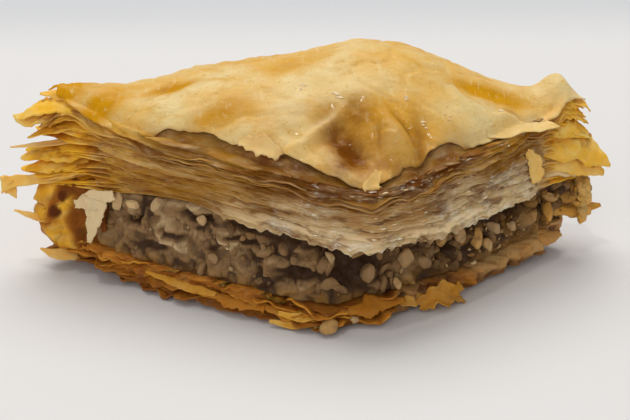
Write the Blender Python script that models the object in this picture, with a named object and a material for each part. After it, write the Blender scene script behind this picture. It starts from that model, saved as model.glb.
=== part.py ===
"""A diamond-cut piece of nut baklava, in its three layers: browned pastry underneath, a filling of chopped nuts,
and a tall stack of thin pastry sheets whose glazed top has puffed up between the knife cuts.

X runs along the diamond's long diagonal, Y along its short one and Z up. The origin is on the surface that the
piece rests on, under the middle. Each layer is a lofted solid: closed rings, one above or inside another.
"""

import math

import bmesh
import bpy
from mathutils import Vector, noise

MM = 0.001

# The cut diamond.
HALF_LENGTH = 32.0 * MM
HALF_WIDTH = 21.0 * MM
CORNER_SHARPNESS = 1.75  # 2 gives a sharp rhombus, 1 an ellipse
SPOKES = 72

# Heights where one layer ends and the next begins.
LAYER_GAP = 0.35 * MM
BOTTOM_TOP = 2.6 * MM
FILLING_TOP = 10.0 * MM
FILLING_HEAP = 2.2 * MM  # the filling is heaped higher towards the front left
HEAP_AT = Vector((-16.0, -8.0)) * MM
HEAP_SPREAD = 8.0 * MM

# The bottom pastry curls up off the surface at its rim, and most at the two sharp ends.
FLAT_SHARE = 0.78
RIM_LIFT = 0.5 * MM
END_LIFT = 1.1 * MM
END_LIFT_FROM = 0.6  # share of the half length where the ends begin to curl

# The rim of the top sheet, and the dome between its rims.
RIM_HEIGHT = 18.0 * MM
LEFT_RISE = 3.2 * MM
RIGHT_RISE = 1.4 * MM
FRONT_DROP = 1.8 * MM
DOME_HEIGHT = 6.2 * MM
DOME_FULLNESS = 0.6  # under 1 the dome swells soon after the rim
PEAK_HEIGHT = 2.9 * MM
PEAK_AT = Vector((7.5, 1.5)) * MM
PEAK_SPREAD = 7.0 * MM
TROUGH_DEPTH = 1.9 * MM
TROUGH_AT = Vector((1.0, -14.5)) * MM
TROUGH_SPREAD = 3.4 * MM
RIPPLE = 0.45 * MM
RIPPLE_LENGTH = 9.0 * MM
LEAN = 0.22  # the top stack leans towards +X at the front, by this share of Y

# The sheets of the top stack show as ledges round its side, and fan out at the two sharp ends.
LEDGES = 7
LEDGE_DEPTH = 0.55 * MM
LEFT_FAN = 5.0 * MM
RIGHT_FAN = 4.6 * MM
FAN_SHARPNESS = 14  # how closely the fan keeps to the ends

# The nuts and the browned sheets below make an uneven side.
NUT_LUMP = 0.9 * MM
NUT_SIZE = 2.6 * MM
NUT_END_REACH = 2.8 * MM
CRUST_LEDGES = 3
CRUST_DEPTH = 0.5 * MM
CRUST_END_REACH = 1.4 * MM


def signed_power(value, power):
    return math.copysign(abs(value) ** power, value)


def bump(x, y, centre, spread):
    """1 at the centre, fading to 0 a few spreads away."""
    away = (Vector((x, y)) - centre).length_squared
    return math.exp(-away / (2 * spread**2))


def smooth_step(value):
    value = min(1.0, max(0.0, value))
    return value * value * (3 - 2 * value)


def plan(theta, share=1.0, reach=0.0):
    """The point of the cut diamond in direction theta, share of the way out, pushed out by reach."""
    x = (HALF_LENGTH * share + reach) * signed_power(math.cos(theta), CORNER_SHARPNESS)
    y = (HALF_WIDTH * share + reach) * signed_power(math.sin(theta), CORNER_SHARPNESS)
    return x, y


def at_end(theta, sharpness):
    """1 at the two sharp ends, fading to 0 along the sides."""
    return abs(math.cos(theta)) ** sharpness


def unevenness(x, y, z, size, seed):
    """Smooth noise from -1 to 1 with features of the given size."""
    return noise.noise(Vector((x, y, z)) / size + Vector((seed, seed * 0.7, seed * 1.3)))


def end_curl(x):
    past = abs(x) / HALF_LENGTH - END_LIFT_FROM
    return END_LIFT * smooth_step(past / (1 - END_LIFT_FROM))


def bottom_top(x, y):
    return BOTTOM_TOP + end_curl(x)


def filling_top(x, y):
    return FILLING_TOP + FILLING_HEAP * bump(x, y, HEAP_AT, HEAP_SPREAD)


def rim_height(x, y):
    """The top sheet's height at the cut: high at the two ends, pressed down at the front corner."""
    along, across = x / HALF_LENGTH, y / HALF_WIDTH
    rise = LEFT_RISE * min(along, 0) ** 2 + RIGHT_RISE * max(along, 0) ** 2
    return RIM_HEIGHT + rise - FRONT_DROP * min(across, 0) ** 2


def pillow(x, y):
    """1 in the middle of the cut diamond and 0 along its four sides, as a filled pillow swells."""
    along, across = x / HALF_LENGTH, y / HALF_WIDTH
    one_way, other_way = along + across, along - across
    return max(0.0, (1 - one_way**2) * (1 - other_way**2)) ** DOME_FULLNESS


def top_surface(x, y):
    """The puffed top sheet."""
    height = rim_height(x, y) + DOME_HEIGHT * pillow(x, y)
    height += PEAK_HEIGHT * bump(x, y, PEAK_AT, PEAK_SPREAD)
    height -= TROUGH_DEPTH * bump(x, y, TROUGH_AT, TROUGH_SPREAD)
    return height + RIPPLE * unevenness(x, y, 0, RIPPLE_LENGTH, 4.0)


def ring(mesh, place):
    """A closed ring of edges whose points are put where place(theta) says."""
    points = bmesh.ops.create_circle(mesh, segments=SPOKES, radius=1.0)["verts"]
    edges = {edge for point in points for edge in point.link_edges}
    for point in points:
        point.co = place(math.atan2(point.co.y, point.co.x))
    return list(edges)


def loft(name, places, middle_low, middle_high, colour, roughness):
    """A solid through the rings that places give, from the underside's innermost ring to the top's, closed at both
    ends by faces that meet at a middle point."""
    mesh = bmesh.new()
    rings = [ring(mesh, place) for place in places]
    for lower, upper in zip(rings, rings[1:]):
        bmesh.ops.bridge_loops(mesh, edges=lower + upper)
    for edges, middle in ((rings[0], middle_low), (rings[-1], middle_high)):
        cap = bmesh.ops.contextual_create(mesh, geom=edges)["faces"]
        centre = bmesh.ops.poke(mesh, faces=cap)["verts"][0]
        centre.co.z = middle
    bmesh.ops.recalc_face_normals(mesh, faces=mesh.faces)
    data = bpy.data.meshes.new(name)
    mesh.to_mesh(data)
    mesh.free()
    data.shade_smooth()
    data.materials.append(finish(name, colour, roughness))
    solid = bpy.data.objects.new(name, data)
    bpy.context.scene.collection.objects.link(solid)
    return solid


def finish(name, colour, roughness):
    material = bpy.data.materials.new(name)
    material.use_nodes = True
    shader = material.node_tree.nodes["Principled BSDF"]
    shader.inputs["Base Color"].default_value = (*colour, 1.0)
    shader.inputs["Roughness"].default_value = roughness
    return material


def flat_ring(share, height):
    """A ring share of the way out whose height is height(x, y)."""

    def place(theta):
        x, y = plan(theta, share)
        return Vector((x, y, height(x, y)))

    return place


def crust_ring(ledge, level, tucked):
    """A ring of the bottom pastry's side: the lip of a browned sheet, or tucked in under the next one."""

    def place(theta):
        x, y = plan(theta)
        if tucked:
            reach = -CRUST_DEPTH
        else:
            reach = CRUST_DEPTH * unevenness(x, y, ledge * 2 * MM, 4 * MM, 1.0)
            reach += CRUST_END_REACH * at_end(theta, FAN_SHARPNESS) * (1 - ledge / CRUST_LEDGES)
        x, y = plan(theta, reach=reach)
        low = RIM_LIFT + end_curl(x)
        return Vector((x, y, low + level * (bottom_top(x, y) - low)))

    return place


def bottom_pastry():
    places = [flat_ring(share, lambda x, y: 0.0) for share in (0.3, 0.55, FLAT_SHARE)]
    for ledge in range(CRUST_LEDGES):
        places.append(crust_ring(ledge, (ledge + 0.3) / CRUST_LEDGES, False))
        if ledge < CRUST_LEDGES - 1:
            places.append(crust_ring(ledge, (ledge + 0.85) / CRUST_LEDGES, True))
    places += [flat_ring(share, bottom_top) for share in (0.96, 0.75, 0.5, 0.25)]
    return loft("bottom_pastry", places, 0.0, BOTTOM_TOP, (0.30, 0.13, 0.035), 0.5)


def nut_ring(level):
    """A ring of the filling's lumpy side, level of the way up it."""

    def place(theta):
        x, y = plan(theta)
        low = bottom_top(x, y) + LAYER_GAP
        z = low + level * (filling_top(x, y) - low)
        bulge = math.sin(math.pi * level)
        reach = NUT_LUMP * unevenness(x, y, z, NUT_SIZE, 2.0) * bulge
        reach += NUT_END_REACH * at_end(theta, FAN_SHARPNESS) * bulge
        x, y = plan(theta, share=0.985, reach=reach)
        return Vector((x, y, z))

    return place


def nut_filling():
    def underside(x, y):
        return bottom_top(x, y) + LAYER_GAP

    places = [flat_ring(share, underside) for share in (0.25, 0.5, 0.75)]
    places += [nut_ring(level) for level in (0.0, 0.2, 0.4, 0.6, 0.8, 1.0)]
    places += [flat_ring(share, filling_top) for share in (0.75, 0.5, 0.25)]
    low, high = BOTTOM_TOP + LAYER_GAP, filling_top(0, 0)
    return loft("nut_filling", places, low, high, (0.14, 0.08, 0.04), 0.55)


def fan_reach(theta, ledge):
    """How far the tip of a ledge's sheets stands out past the cut, at either sharp end."""
    fan = LEFT_FAN if math.cos(theta) < 0 else RIGHT_FAN
    longest = 1 if ledge in (1, LEDGES - 2) else 0.45 + 0.4 * abs(noise.noise(Vector((ledge * 2.3, 0, 5))))
    return fan * longest * at_end(theta, FAN_SHARPNESS)


def lean(x, y):
    """The top stack's front corner leans towards +X, and its back corner stays where it is."""
    return x - LEAN * min(y, 0) * (1 - abs(x) / (2 * HALF_LENGTH)), y


def stack_ring(ledge, level, tucked):
    """A ring of the top stack's side: the lip of a ledge, or tucked in under the next one."""

    def place(theta):
        x, y = plan(theta)
        low = filling_top(x, y) + LAYER_GAP
        z = low + level * (rim_height(x, y) - low)
        if tucked:
            reach = -LEDGE_DEPTH
        else:
            reach = LEDGE_DEPTH * unevenness(x, y, z, 5 * MM, 3.0) + fan_reach(theta, ledge)
        x, y = plan(theta, reach=reach)
        return Vector((*lean(x, y), z))

    return place


def stack_underside(share):
    """A ring of the stack's underside, which follows the heaped nuts below it."""

    def place(theta):
        x, y = plan(theta, share)
        return Vector((x, y, filling_top(x, y) + LAYER_GAP))

    return place


def top_ring(share):
    def place(theta):
        x, y = plan(theta, share)
        height = top_surface(x, y)
        return Vector((*lean(x, y), height))

    return place


def top_pastry():
    places = [stack_underside(share) for share in (0.25, 0.5, 0.75, 0.94)]
    for ledge in range(LEDGES):
        places.append(stack_ring(ledge, (ledge + 0.35) / LEDGES, False))
        if ledge < LEDGES - 1:
            places.append(stack_ring(ledge, (ledge + 0.85) / LEDGES, True))
    places += [top_ring(share) for share in (0.97, 0.9, 0.79, 0.66, 0.52, 0.38, 0.24, 0.1)]
    low, high = filling_top(0, 0) + LAYER_GAP, top_surface(0, 0)
    return loft("top_pastry", places, low, high, (0.72, 0.45, 0.15), 0.35)


def clear_scene():
    for existing in list(bpy.data.objects):
        bpy.data.objects.remove(existing)


def main():
    clear_scene()
    bottom_pastry()
    nut_filling()
    top_pastry()


main()
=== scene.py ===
"""The looks of a diamond-cut piece of nut baklava, laid out as a Blender add-on.

Each operator makes one piece or one group of like pieces round the fixed frame: the glazed skin, the stack
of thin pastry leaves under it, the chopped nuts, the browned leaves below, and the flakes, crumbs and syrup
on them. X runs along the diamond's long diagonal, Y along its short one with the front at -Y, and Z up, in
metres.
"""

import math
import random
from collections import namedtuple

import bmesh
import bpy
import numpy as np
from bpy.props import FloatProperty, FloatVectorProperty, IntProperty, PointerProperty
from mathutils import Euler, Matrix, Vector, noise


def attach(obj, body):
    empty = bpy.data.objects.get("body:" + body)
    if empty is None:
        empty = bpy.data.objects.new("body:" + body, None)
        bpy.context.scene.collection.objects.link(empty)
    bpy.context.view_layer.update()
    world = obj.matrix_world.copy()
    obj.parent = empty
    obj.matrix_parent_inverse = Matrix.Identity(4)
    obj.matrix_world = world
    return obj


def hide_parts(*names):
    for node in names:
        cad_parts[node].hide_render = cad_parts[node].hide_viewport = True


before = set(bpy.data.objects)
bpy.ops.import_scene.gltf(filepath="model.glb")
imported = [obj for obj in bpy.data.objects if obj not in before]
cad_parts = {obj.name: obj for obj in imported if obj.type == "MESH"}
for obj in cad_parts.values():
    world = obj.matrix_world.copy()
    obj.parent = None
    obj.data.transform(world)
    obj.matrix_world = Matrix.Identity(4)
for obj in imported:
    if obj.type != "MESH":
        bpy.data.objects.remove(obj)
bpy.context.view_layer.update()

bl_info = {
    "name": "Nut Baklava",
    "version": (1, 0, 0),
    "blender": (4, 5, 0),
    "location": "View3D > Sidebar > Baklava",
    "description": "Builds a diamond-cut piece of nut baklava, leaf by leaf",
    "category": "Add Mesh",
}

MM = 0.001
UP = Vector((0, 0, 1))

# The cut diamond and its three layers, as the frame has them.
HALF_LENGTH = 32.0 * MM
HALF_WIDTH = 21.0 * MM
CORNER_SHARPNESS = 1.75
LAYER_GAP = 0.35 * MM
BOTTOM_TOP = 2.6 * MM
FILLING_TOP = 10.0 * MM
FILLING_HEAP = 2.2 * MM
HEAP_AT = Vector((-16.0, -8.0)) * MM
HEAP_SPREAD = 8.0 * MM
FLAT_SHARE = 0.78
RIM_LIFT = 0.5 * MM
END_LIFT = 1.1 * MM
END_LIFT_FROM = 0.6
RIM_HEIGHT = 18.0 * MM
LEFT_RISE = 3.2 * MM
RIGHT_RISE = 1.4 * MM
FRONT_DROP = 1.8 * MM
DOME_HEIGHT = 6.2 * MM
DOME_FULLNESS = 0.6
PEAK_HEIGHT = 2.9 * MM
PEAK_AT = Vector((7.5, 1.5)) * MM
PEAK_SPREAD = 7.0 * MM
RIPPLE = 0.45 * MM
RIPPLE_LENGTH = 9.0 * MM
LEAN = 0.22

# Where a leaf starts inside the piece, as a share of the way out to the cut.
LEAF_ROOT = 0.74
BASE_LEAF_ROOT = 0.76

# How thick the sheets are that no user changes.
OVERLAP_WALL = 0.1 * MM
BASE_LEAF_WALL = 0.2 * MM
CUP_WALL = 0.3 * MM

# How finely the sheets are divided.
OUTLINE_POINTS = 6001  # points of the exact outline, from which even steps are read
AROUND = 800  # steps round the rim
FAN_STEPS = 7  # steps each way that an outward direction is taken over
ACROSS = 7  # steps from a leaf's hidden inner edge to its torn one
FACE_STEPS = 100  # steps up the stack's cut face
NUT_STEPS = 56  # steps up the filling's
BASE_STEPS = 30  # steps up the base's
CAP_SHARE = 0.06  # share of a solid's steps that close it underneath, and again on top
SKIN_STEPS = 200  # steps along each side of the skin
OVERLAP_STEPS = (10, 90)  # steps across a sheet lying on the skin, and along it
SCRAP_STEPS = (8, 26)  # the same for a scrap
CUP_STEPS = (60, 40)  # steps round the cup, and up it
BATCH = 25  # small shapes made in one mesh before they are joined to the rest
WELD = 1e-4 * MM  # points nearer than this are one


# ---------------------------------------------------------------- sizes and colours a user may change


def amount(name, description, value, least, most):
    return IntProperty(name=name, description=description, default=value, min=least, max=most)


def measure(name, description, value):
    return FloatProperty(name=name, description=description, default=value, unit="LENGTH", precision=5)


def colour(name, description, value):
    return FloatVectorProperty(
        name=name, description=description, default=value, subtype="COLOR", size=3, min=0.0, max=1.0
    )


class BaklavaSizes(bpy.types.PropertyGroup):
    """Sizes of the leaves, nuts and crumbs."""

    leaves: amount("Leaves", "Pastry leaves in the top stack", 14, 6, 28)
    leaf_wall: measure("Leaf Thickness", "Thickness of one leaf", 0.13 * MM)
    skin_wall: measure("Skin Thickness", "Thickness of the top sheet", 0.15 * MM)
    base_leaves: amount("Base Leaves", "Browned leaves under the nuts", 5, 2, 16)
    nuts: amount("Nuts", "Chopped nuts that show at the sides", 260, 0, 900)
    nut_size: measure("Nut Size", "Length of the largest chopped nut", 3.0 * MM)
    crumbs: amount("Crumbs", "Small crumbs among the nuts", 170, 0, 2000)
    end_nuts: amount("End Nuts", "Glazed nuts that spill out at the right end", 44, 0, 200)
    side_beads: amount("Side Beads", "Syrup beads on the cut side of the stack", 34, 0, 200)


class BaklavaColours(bpy.types.PropertyGroup):
    """Colours of the pastry, nuts and stage, as linear values."""

    skin_pale: colour("Pale Skin", "Least baked parts of the top sheet", (0.91, 0.65, 0.30))
    skin_peach: colour("Peach Skin", "Most of the top sheet", (0.86, 0.48, 0.125))
    skin_gold: colour("Gold Skin", "Where syrup has pooled on the top sheet", (0.70, 0.31, 0.004))
    # Brown laid on as painted shade in the skin's hollows, troughs and creases.
    skin_brown_and_shade: colour("Brown Skin", "The hollows that have baked and soaked darkest", (0.20, 0.06, 0.003))
    leaf_beige: colour("Beige Leaf", "Cut edges of the soaked leaves", (0.60, 0.35, 0.13))
    leaf_gold: colour("Gold Leaf", "Dry leaves at the sharp ends", (0.96, 0.51, 0.04))
    leaf_straw: colour("Straw Leaf", "Pale streaks in the dry leaves", (0.97, 0.66, 0.19))
    # Brown of the leaves, also laid on as painted shadow under the skin's rim and as painted shade where
    # sheets are set back.
    leaf_brown_and_shade: colour("Brown Leaf", "Leaves browned under the skin", (0.19, 0.06, 0.008))
    # Cream of the low leaves, also laid on as painted highlights: pale streaks on the cut and sheets that
    # stand out.
    leaf_cream_and_highlight: colour("Cream Leaf", "Pale leaves low in the stack", (0.80, 0.60, 0.33))
    # Dark of soaked nuts, also laid on as painted shade in the cut face's cracks and hollows.
    nut_dark_and_shade: colour("Dark Nut", "Nut pieces soaked with syrup", (0.075, 0.035, 0.015))
    nut_mid: colour("Brown Nut", "Most of the chopped nuts", (0.34, 0.195, 0.08))
    nut_ochre: colour("Ochre Nut", "Nut pieces glazed with browned syrup", (0.88, 0.44, 0.07))
    nut_pale: colour("Pale Nut", "Freshly broken faces of the nuts", (0.84, 0.61, 0.33))
    base_brown: colour("Brown Base", "The browned leaves underneath", (0.42, 0.135, 0.016))
    base_orange: colour("Orange Base", "Torn edges of the browned leaves", (0.80, 0.35, 0.04))
    # Dark baked spots, also laid on as painted shade low under the base, in its recesses and on the cup.
    base_dark_and_shade: colour("Dark Base", "The darkest baked spots underneath", (0.12, 0.03, 0.006))
    # Near-white colour laid on as painted highlights: glint streaks on the cut leaves and the colour of the
    # syrup beads.
    painted_glint: colour("Glint", "Specks and streaks of wet syrup", (0.97, 0.88, 0.70))
    floor: colour("Floor", "The pale surface it stands on", (0.79, 0.77, 0.755))
    floor_far: colour("Far Floor", "The same surface further back, in less light", (0.64, 0.645, 0.66))


# ---------------------------------------------------------------- shapes shared by the pieces

RimPoint = namedtuple("RimPoint", "x y out_x out_y right left front")


def signed_power(value, power):
    return math.copysign(abs(value) ** power, value)


def clamp(value):
    return min(1.0, max(0.0, value))


def smooth_step(value):
    value = clamp(value)
    return value * value * (3 - 2 * value)


def ramp(value, start, end):
    """0 before start and 1 after end, smoothly between."""
    return smooth_step((value - start) / (end - start))


def bell(value, spread):
    return math.exp(-((value / spread) ** 2))


def bump(x, y, centre, spread):
    away = (Vector((x, y)) - centre).length_squared
    return math.exp(-away / (2 * spread**2))


def blob(x, y, spot):
    """1 at the middle of a spot (x, y, length, width, turn in degrees), fading to 0 past its edge."""
    middle_x, middle_y, length, width, turn = spot
    cos, sin = math.cos(math.radians(turn)), math.sin(math.radians(turn))
    away_x, away_y = x / MM - middle_x, y / MM - middle_y
    along = (away_x * cos + away_y * sin) / length
    across = (away_y * cos - away_x * sin) / width
    return math.exp(-(along * along + across * across))


def rough(x, y, z, size, seed):
    """Smooth noise from -1 to 1 with features of the given size."""
    return noise.noise(Vector((x / size + seed, y / size + seed * 0.7, z / size + seed * 1.3)))


def lean(x, y):
    """The top stack's front corner leans towards +X, and its back corner stays where it is."""
    return x - LEAN * min(y, 0) * (1 - abs(x) / (2 * HALF_LENGTH)), y


def end_curl(x):
    return END_LIFT * smooth_step((abs(x) / HALF_LENGTH - END_LIFT_FROM) / (1 - END_LIFT_FROM))


def bottom_top(x, y):
    return BOTTOM_TOP + end_curl(x)


def filling_top(x, y):
    return FILLING_TOP + FILLING_HEAP * bump(x, y, HEAP_AT, HEAP_SPREAD)


def rim_height(x, y):
    along, across = x / HALF_LENGTH, y / HALF_WIDTH
    rise = LEFT_RISE * min(along, 0) ** 2 + RIGHT_RISE * max(along, 0) ** 2
    return RIM_HEIGHT + rise - FRONT_DROP * min(across, 0) ** 2


def pillow(x, y):
    along, across = x / HALF_LENGTH, y / HALF_WIDTH
    one_way, other_way = along + across, along - across
    return max(0.0, (1 - one_way**2) * (1 - other_way**2)) ** DOME_FULLNESS


def rim_points(count):
    """Points an even distance apart round the cut, each with its outward direction and its distance along the
    cut from the right and the left corner and from the nearer of the other two, left of it negative. At a
    corner the outward directions fan out."""
    turn = np.linspace(0.0, 2 * math.pi, OUTLINE_POINTS)
    cos, sin = np.cos(turn), np.sin(turn)
    x = HALF_LENGTH * np.sign(cos) * np.abs(cos) ** CORNER_SHARPNESS
    y = HALF_WIDTH * np.sign(sin) * np.abs(sin) ** CORNER_SHARPNESS
    travelled = np.concatenate(([0.0], np.cumsum(np.hypot(np.diff(x), np.diff(y)))))
    whole = travelled[-1]
    even = np.arange(count) * whole / count
    x, y = np.interp(even, travelled, x), np.interp(even, travelled, y)
    along_x, along_y = [np.roll(each, -FAN_STEPS) - np.roll(each, FAN_STEPS) for each in (x, y)]
    away = np.hypot(along_x, along_y)
    points = []
    for i in range(count):
        right, left, front = [
            (even[i] - whole * turns + whole / 2) % whole - whole / 2 for turns in (0, 0.5, 0.75)
        ]
        if abs(front) > whole / 4:
            front = math.copysign(whole / 2 - abs(front), front)
        out_x, out_y = along_y[i] / away[i], -along_x[i] / away[i]
        points.append(RimPoint(x[i], y[i], out_x, out_y, right, left, front))
    return points


RIM = rim_points(AROUND)
RIM_SIDE = RIM[AROUND // 4].right  # the length of one side of the cut


def waver(rim, size, seed, layer=0.0):
    """Smooth noise along the cut. size and layer are in millimetres, and layer sets one sheet apart from
    another."""
    return rough(rim.x, rim.y, layer * MM, size * MM, seed)


def past_cut(rim, reach, height):
    """The point that stands reach out past the cut."""
    return Vector((rim.x + rim.out_x * reach, rim.y + rim.out_y * reach, height))


def leaf_place(rim, root, out, reach):
    """Where a leaf is, from out = 0 at its root inside to 1 at its edge, which stands reach past the cut."""
    inner = root + (1 - root) * out
    return rim.x * inner + rim.out_x * reach, rim.y * inner + rim.out_y * reach


# ---------------------------------------------------------------- meshes and pieces


def layers(mesh, *names):
    return [mesh.verts.layers.float.get(name) or mesh.verts.layers.float.new(name) for name in names]


def add_band(mesh, shape, tones, across=ACROSS):
    """A closed band round the cut. shape(rim point, t) gives a point and its tones, for t from 0 to 1 across
    it."""
    slots = layers(mesh, *tones)
    grid = bmesh.ops.create_grid(mesh, x_segments=across, y_segments=AROUND, size=1.0)["verts"]
    for point in grid:
        step = round((point.co.y + 1) / 2 * AROUND) % AROUND
        point.co, values = shape(RIM[step], (point.co.x + 1) / 2)
        for slot, value in zip(slots, values):
            point[slot] = value
    bmesh.ops.remove_doubles(mesh, verts=grid, dist=WELD)


def add_solid(mesh, under, side, over, tones, steps):
    """A closed solid round the middle: under(x, y) and over(x, y) give the heights of its two caps, and
    side(rim point, level) a point of its side and its tones, for level from 0 to 1 up it."""

    def shape(rim, t):
        level = clamp((t - CAP_SHARE) / (1 - 2 * CAP_SHARE))
        at, values = side(rim, level)
        share = min(t, 1 - t) / CAP_SHARE
        if share < 1 - 1e-6:
            at = Vector((at.x * share, at.y * share, 0.0))
            at.z = (under if t < 0.5 else over)(at.x, at.y)
        return at, values

    add_band(mesh, shape, tones, steps)


def add_sheet(mesh, shape, tones, across, along):
    """An open sheet. shape(u, v) gives a point and its tones for u and v from 0 to 1."""
    slots = layers(mesh, *tones)
    for point in bmesh.ops.create_grid(mesh, x_segments=across, y_segments=along, size=1.0)["verts"]:
        point.co, values = shape((point.co.x + 1) / 2, (point.co.y + 1) / 2)
        for slot, value in zip(slots, values):
            point[slot] = value


def add_many(mesh, count, make, tones):
    """Adds make(part) count times, a batch at a time, because bmesh operators slow down on a large mesh."""
    data = bpy.data.meshes.new("batch")
    layers(mesh, *tones)
    for start in range(0, count, BATCH):
        part = bmesh.new()
        layers(part, *tones)
        for _ in range(min(BATCH, count - start)):
            make(part)
        part.to_mesh(data)
        part.free()
        mesh.from_mesh(data)
    bpy.data.meshes.remove(data)


def make_piece(mesh, name, material, node=None, wall=None):
    """Puts a finished mesh in the scene, on the object's one body."""
    bmesh.ops.recalc_face_normals(mesh, faces=mesh.faces)
    data = bpy.data.meshes.new(name)
    mesh.to_mesh(data)
    mesh.free()
    data.shade_smooth()
    data.materials.append(material)
    piece = bpy.data.objects.new(name, data)
    bpy.context.scene.collection.objects.link(piece)
    if wall:
        thickness = piece.modifiers.new("Thickness", "SOLIDIFY")
        thickness.thickness = wall
        thickness.offset = -1.0
    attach(piece, "root")
    if node:
        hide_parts(node)


# ---------------------------------------------------------------- materials


class Finish:
    """A material whose nodes are added one call at a time: a ground colour, and tints laid over it in order.
    Texture sizes are in millimetres."""

    def __init__(self, name, ground):
        self.shown = ground
        self.material = bpy.data.materials.new(name)
        self.material.use_nodes = True
        self.tree = self.material.node_tree
        self.shader = self.tree.nodes["Principled BSDF"]
        self.place = self.tree.nodes.new("ShaderNodeTexCoord").outputs["Object"]

    def set(self, **values):
        for name, value in values.items():
            self.shader.inputs[name.replace("_", " ").title().replace("Ior", "IOR")].default_value = value

    def soft(self, weight, depth, radius):
        """Light that soaks in to depth, in millimetres, and further in red than in green and blue."""
        self.set(subsurface_weight=weight, subsurface_scale=depth * MM, subsurface_radius=radius)

    def join(self, source, socket):
        if hasattr(source, "links"):
            self.tree.links.new(source, socket)
        else:
            socket.default_value = source if not hasattr(source, "__len__") else (*source[:3], 1.0)

    def feed(self, source, name):
        self.tree.links.new(source, self.shader.inputs[name])

    def tone(self, name):
        node = self.tree.nodes.new("ShaderNodeAttribute")
        node.attribute_name = name
        return node.outputs["Fac"]

    def stretched(self, size):
        node = self.tree.nodes.new("ShaderNodeMapping")
        node.inputs["Scale"].default_value = tuple(1 / (each * MM) for each in size)
        self.tree.links.new(self.place, node.inputs["Vector"])
        return node.outputs["Vector"]

    def noise(self, detail, roughness, seed):
        node = self.tree.nodes.new("ShaderNodeTexNoise")
        node.noise_dimensions = "4D"
        node.inputs["W"].default_value = seed
        node.inputs["Scale"].default_value = 1.0
        node.inputs["Detail"].default_value = detail
        node.inputs["Roughness"].default_value = roughness
        return node

    def cloud(self, size, detail=3.0, roughness=0.55, seed=0.0):
        """Noise with features of the given size, one number or one for each axis."""
        node = self.noise(detail, roughness, seed)
        size = size if hasattr(size, "__len__") else (size,) * 3
        self.tree.links.new(self.stretched(size), node.inputs["Vector"])
        return node.outputs["Fac"]

    def streaks(self, size, per_sheet, detail=4.0, roughness=0.6, seed=0.0):
        """Noise drawn out along the sheets: size is its length, and per_sheet how often it changes from sheet
        to sheet."""
        split = self.tree.nodes.new("ShaderNodeSeparateXYZ")
        self.tree.links.new(self.stretched((size, size, size)), split.inputs["Vector"])
        merge = self.tree.nodes.new("ShaderNodeCombineXYZ")
        self.tree.links.new(split.outputs["X"], merge.inputs["X"])
        self.tree.links.new(split.outputs["Y"], merge.inputs["Y"])
        self.tree.links.new(self.times(self.tone("sheet"), per_sheet), merge.inputs["Z"])
        node = self.noise(detail, roughness, seed)
        self.tree.links.new(merge.outputs["Vector"], node.inputs["Vector"])
        return node.outputs["Fac"]

    def between(self, value, low, high, to_low=0.0, to_high=1.0):
        node = self.tree.nodes.new("ShaderNodeMapRange")
        node.interpolation_type = "SMOOTHSTEP"
        for slot, number in zip(("From Min", "From Max", "To Min", "To Max"), (low, high, to_low, to_high)):
            node.inputs[slot].default_value = number
        self.tree.links.new(value, node.inputs["Value"])
        return node.outputs["Result"]

    def maths(self, kind, first, second):
        node = self.tree.nodes.new("ShaderNodeMath")
        node.operation = kind
        self.join(first, node.inputs[0])
        self.join(second, node.inputs[1])
        return node.outputs["Value"]

    def times(self, first, second):
        return self.maths("MULTIPLY", first, second)

    def greater(self, first, second):
        return self.maths("MAXIMUM", first, second)

    def blend(self, factor, first, second):
        node = self.tree.nodes.new("ShaderNodeMix")
        node.data_type = "RGBA"
        self.join(factor, node.inputs[0])
        self.join(first, node.inputs[6])
        self.join(second, node.inputs[7])
        return node.outputs[2]

    def tint(self, factor, over):
        """Lays a colour over what is there, as strongly as factor says."""
        self.shown = self.blend(factor, self.shown, over)

    def dull(self, size, seed, least, most):
        """Roughness from least to most, in patches of the given size."""
        self.feed(self.between(self.cloud(size, seed=seed), 0.3, 0.7, least, most), "Roughness")

    def relief(self, height, depth, strength=1.0, under=None):
        """Fine relief, depth in millimetres for a height of 1."""
        node = self.tree.nodes.new("ShaderNodeBump")
        node.inputs["Distance"].default_value = depth * MM
        node.inputs["Strength"].default_value = strength
        self.tree.links.new(height, node.inputs["Height"])
        if under:
            self.tree.links.new(under, node.inputs["Normal"])
        return node.outputs["Normal"]

    def done(self):
        self.feed(self.shown, "Base Color")
        return self.material


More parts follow.
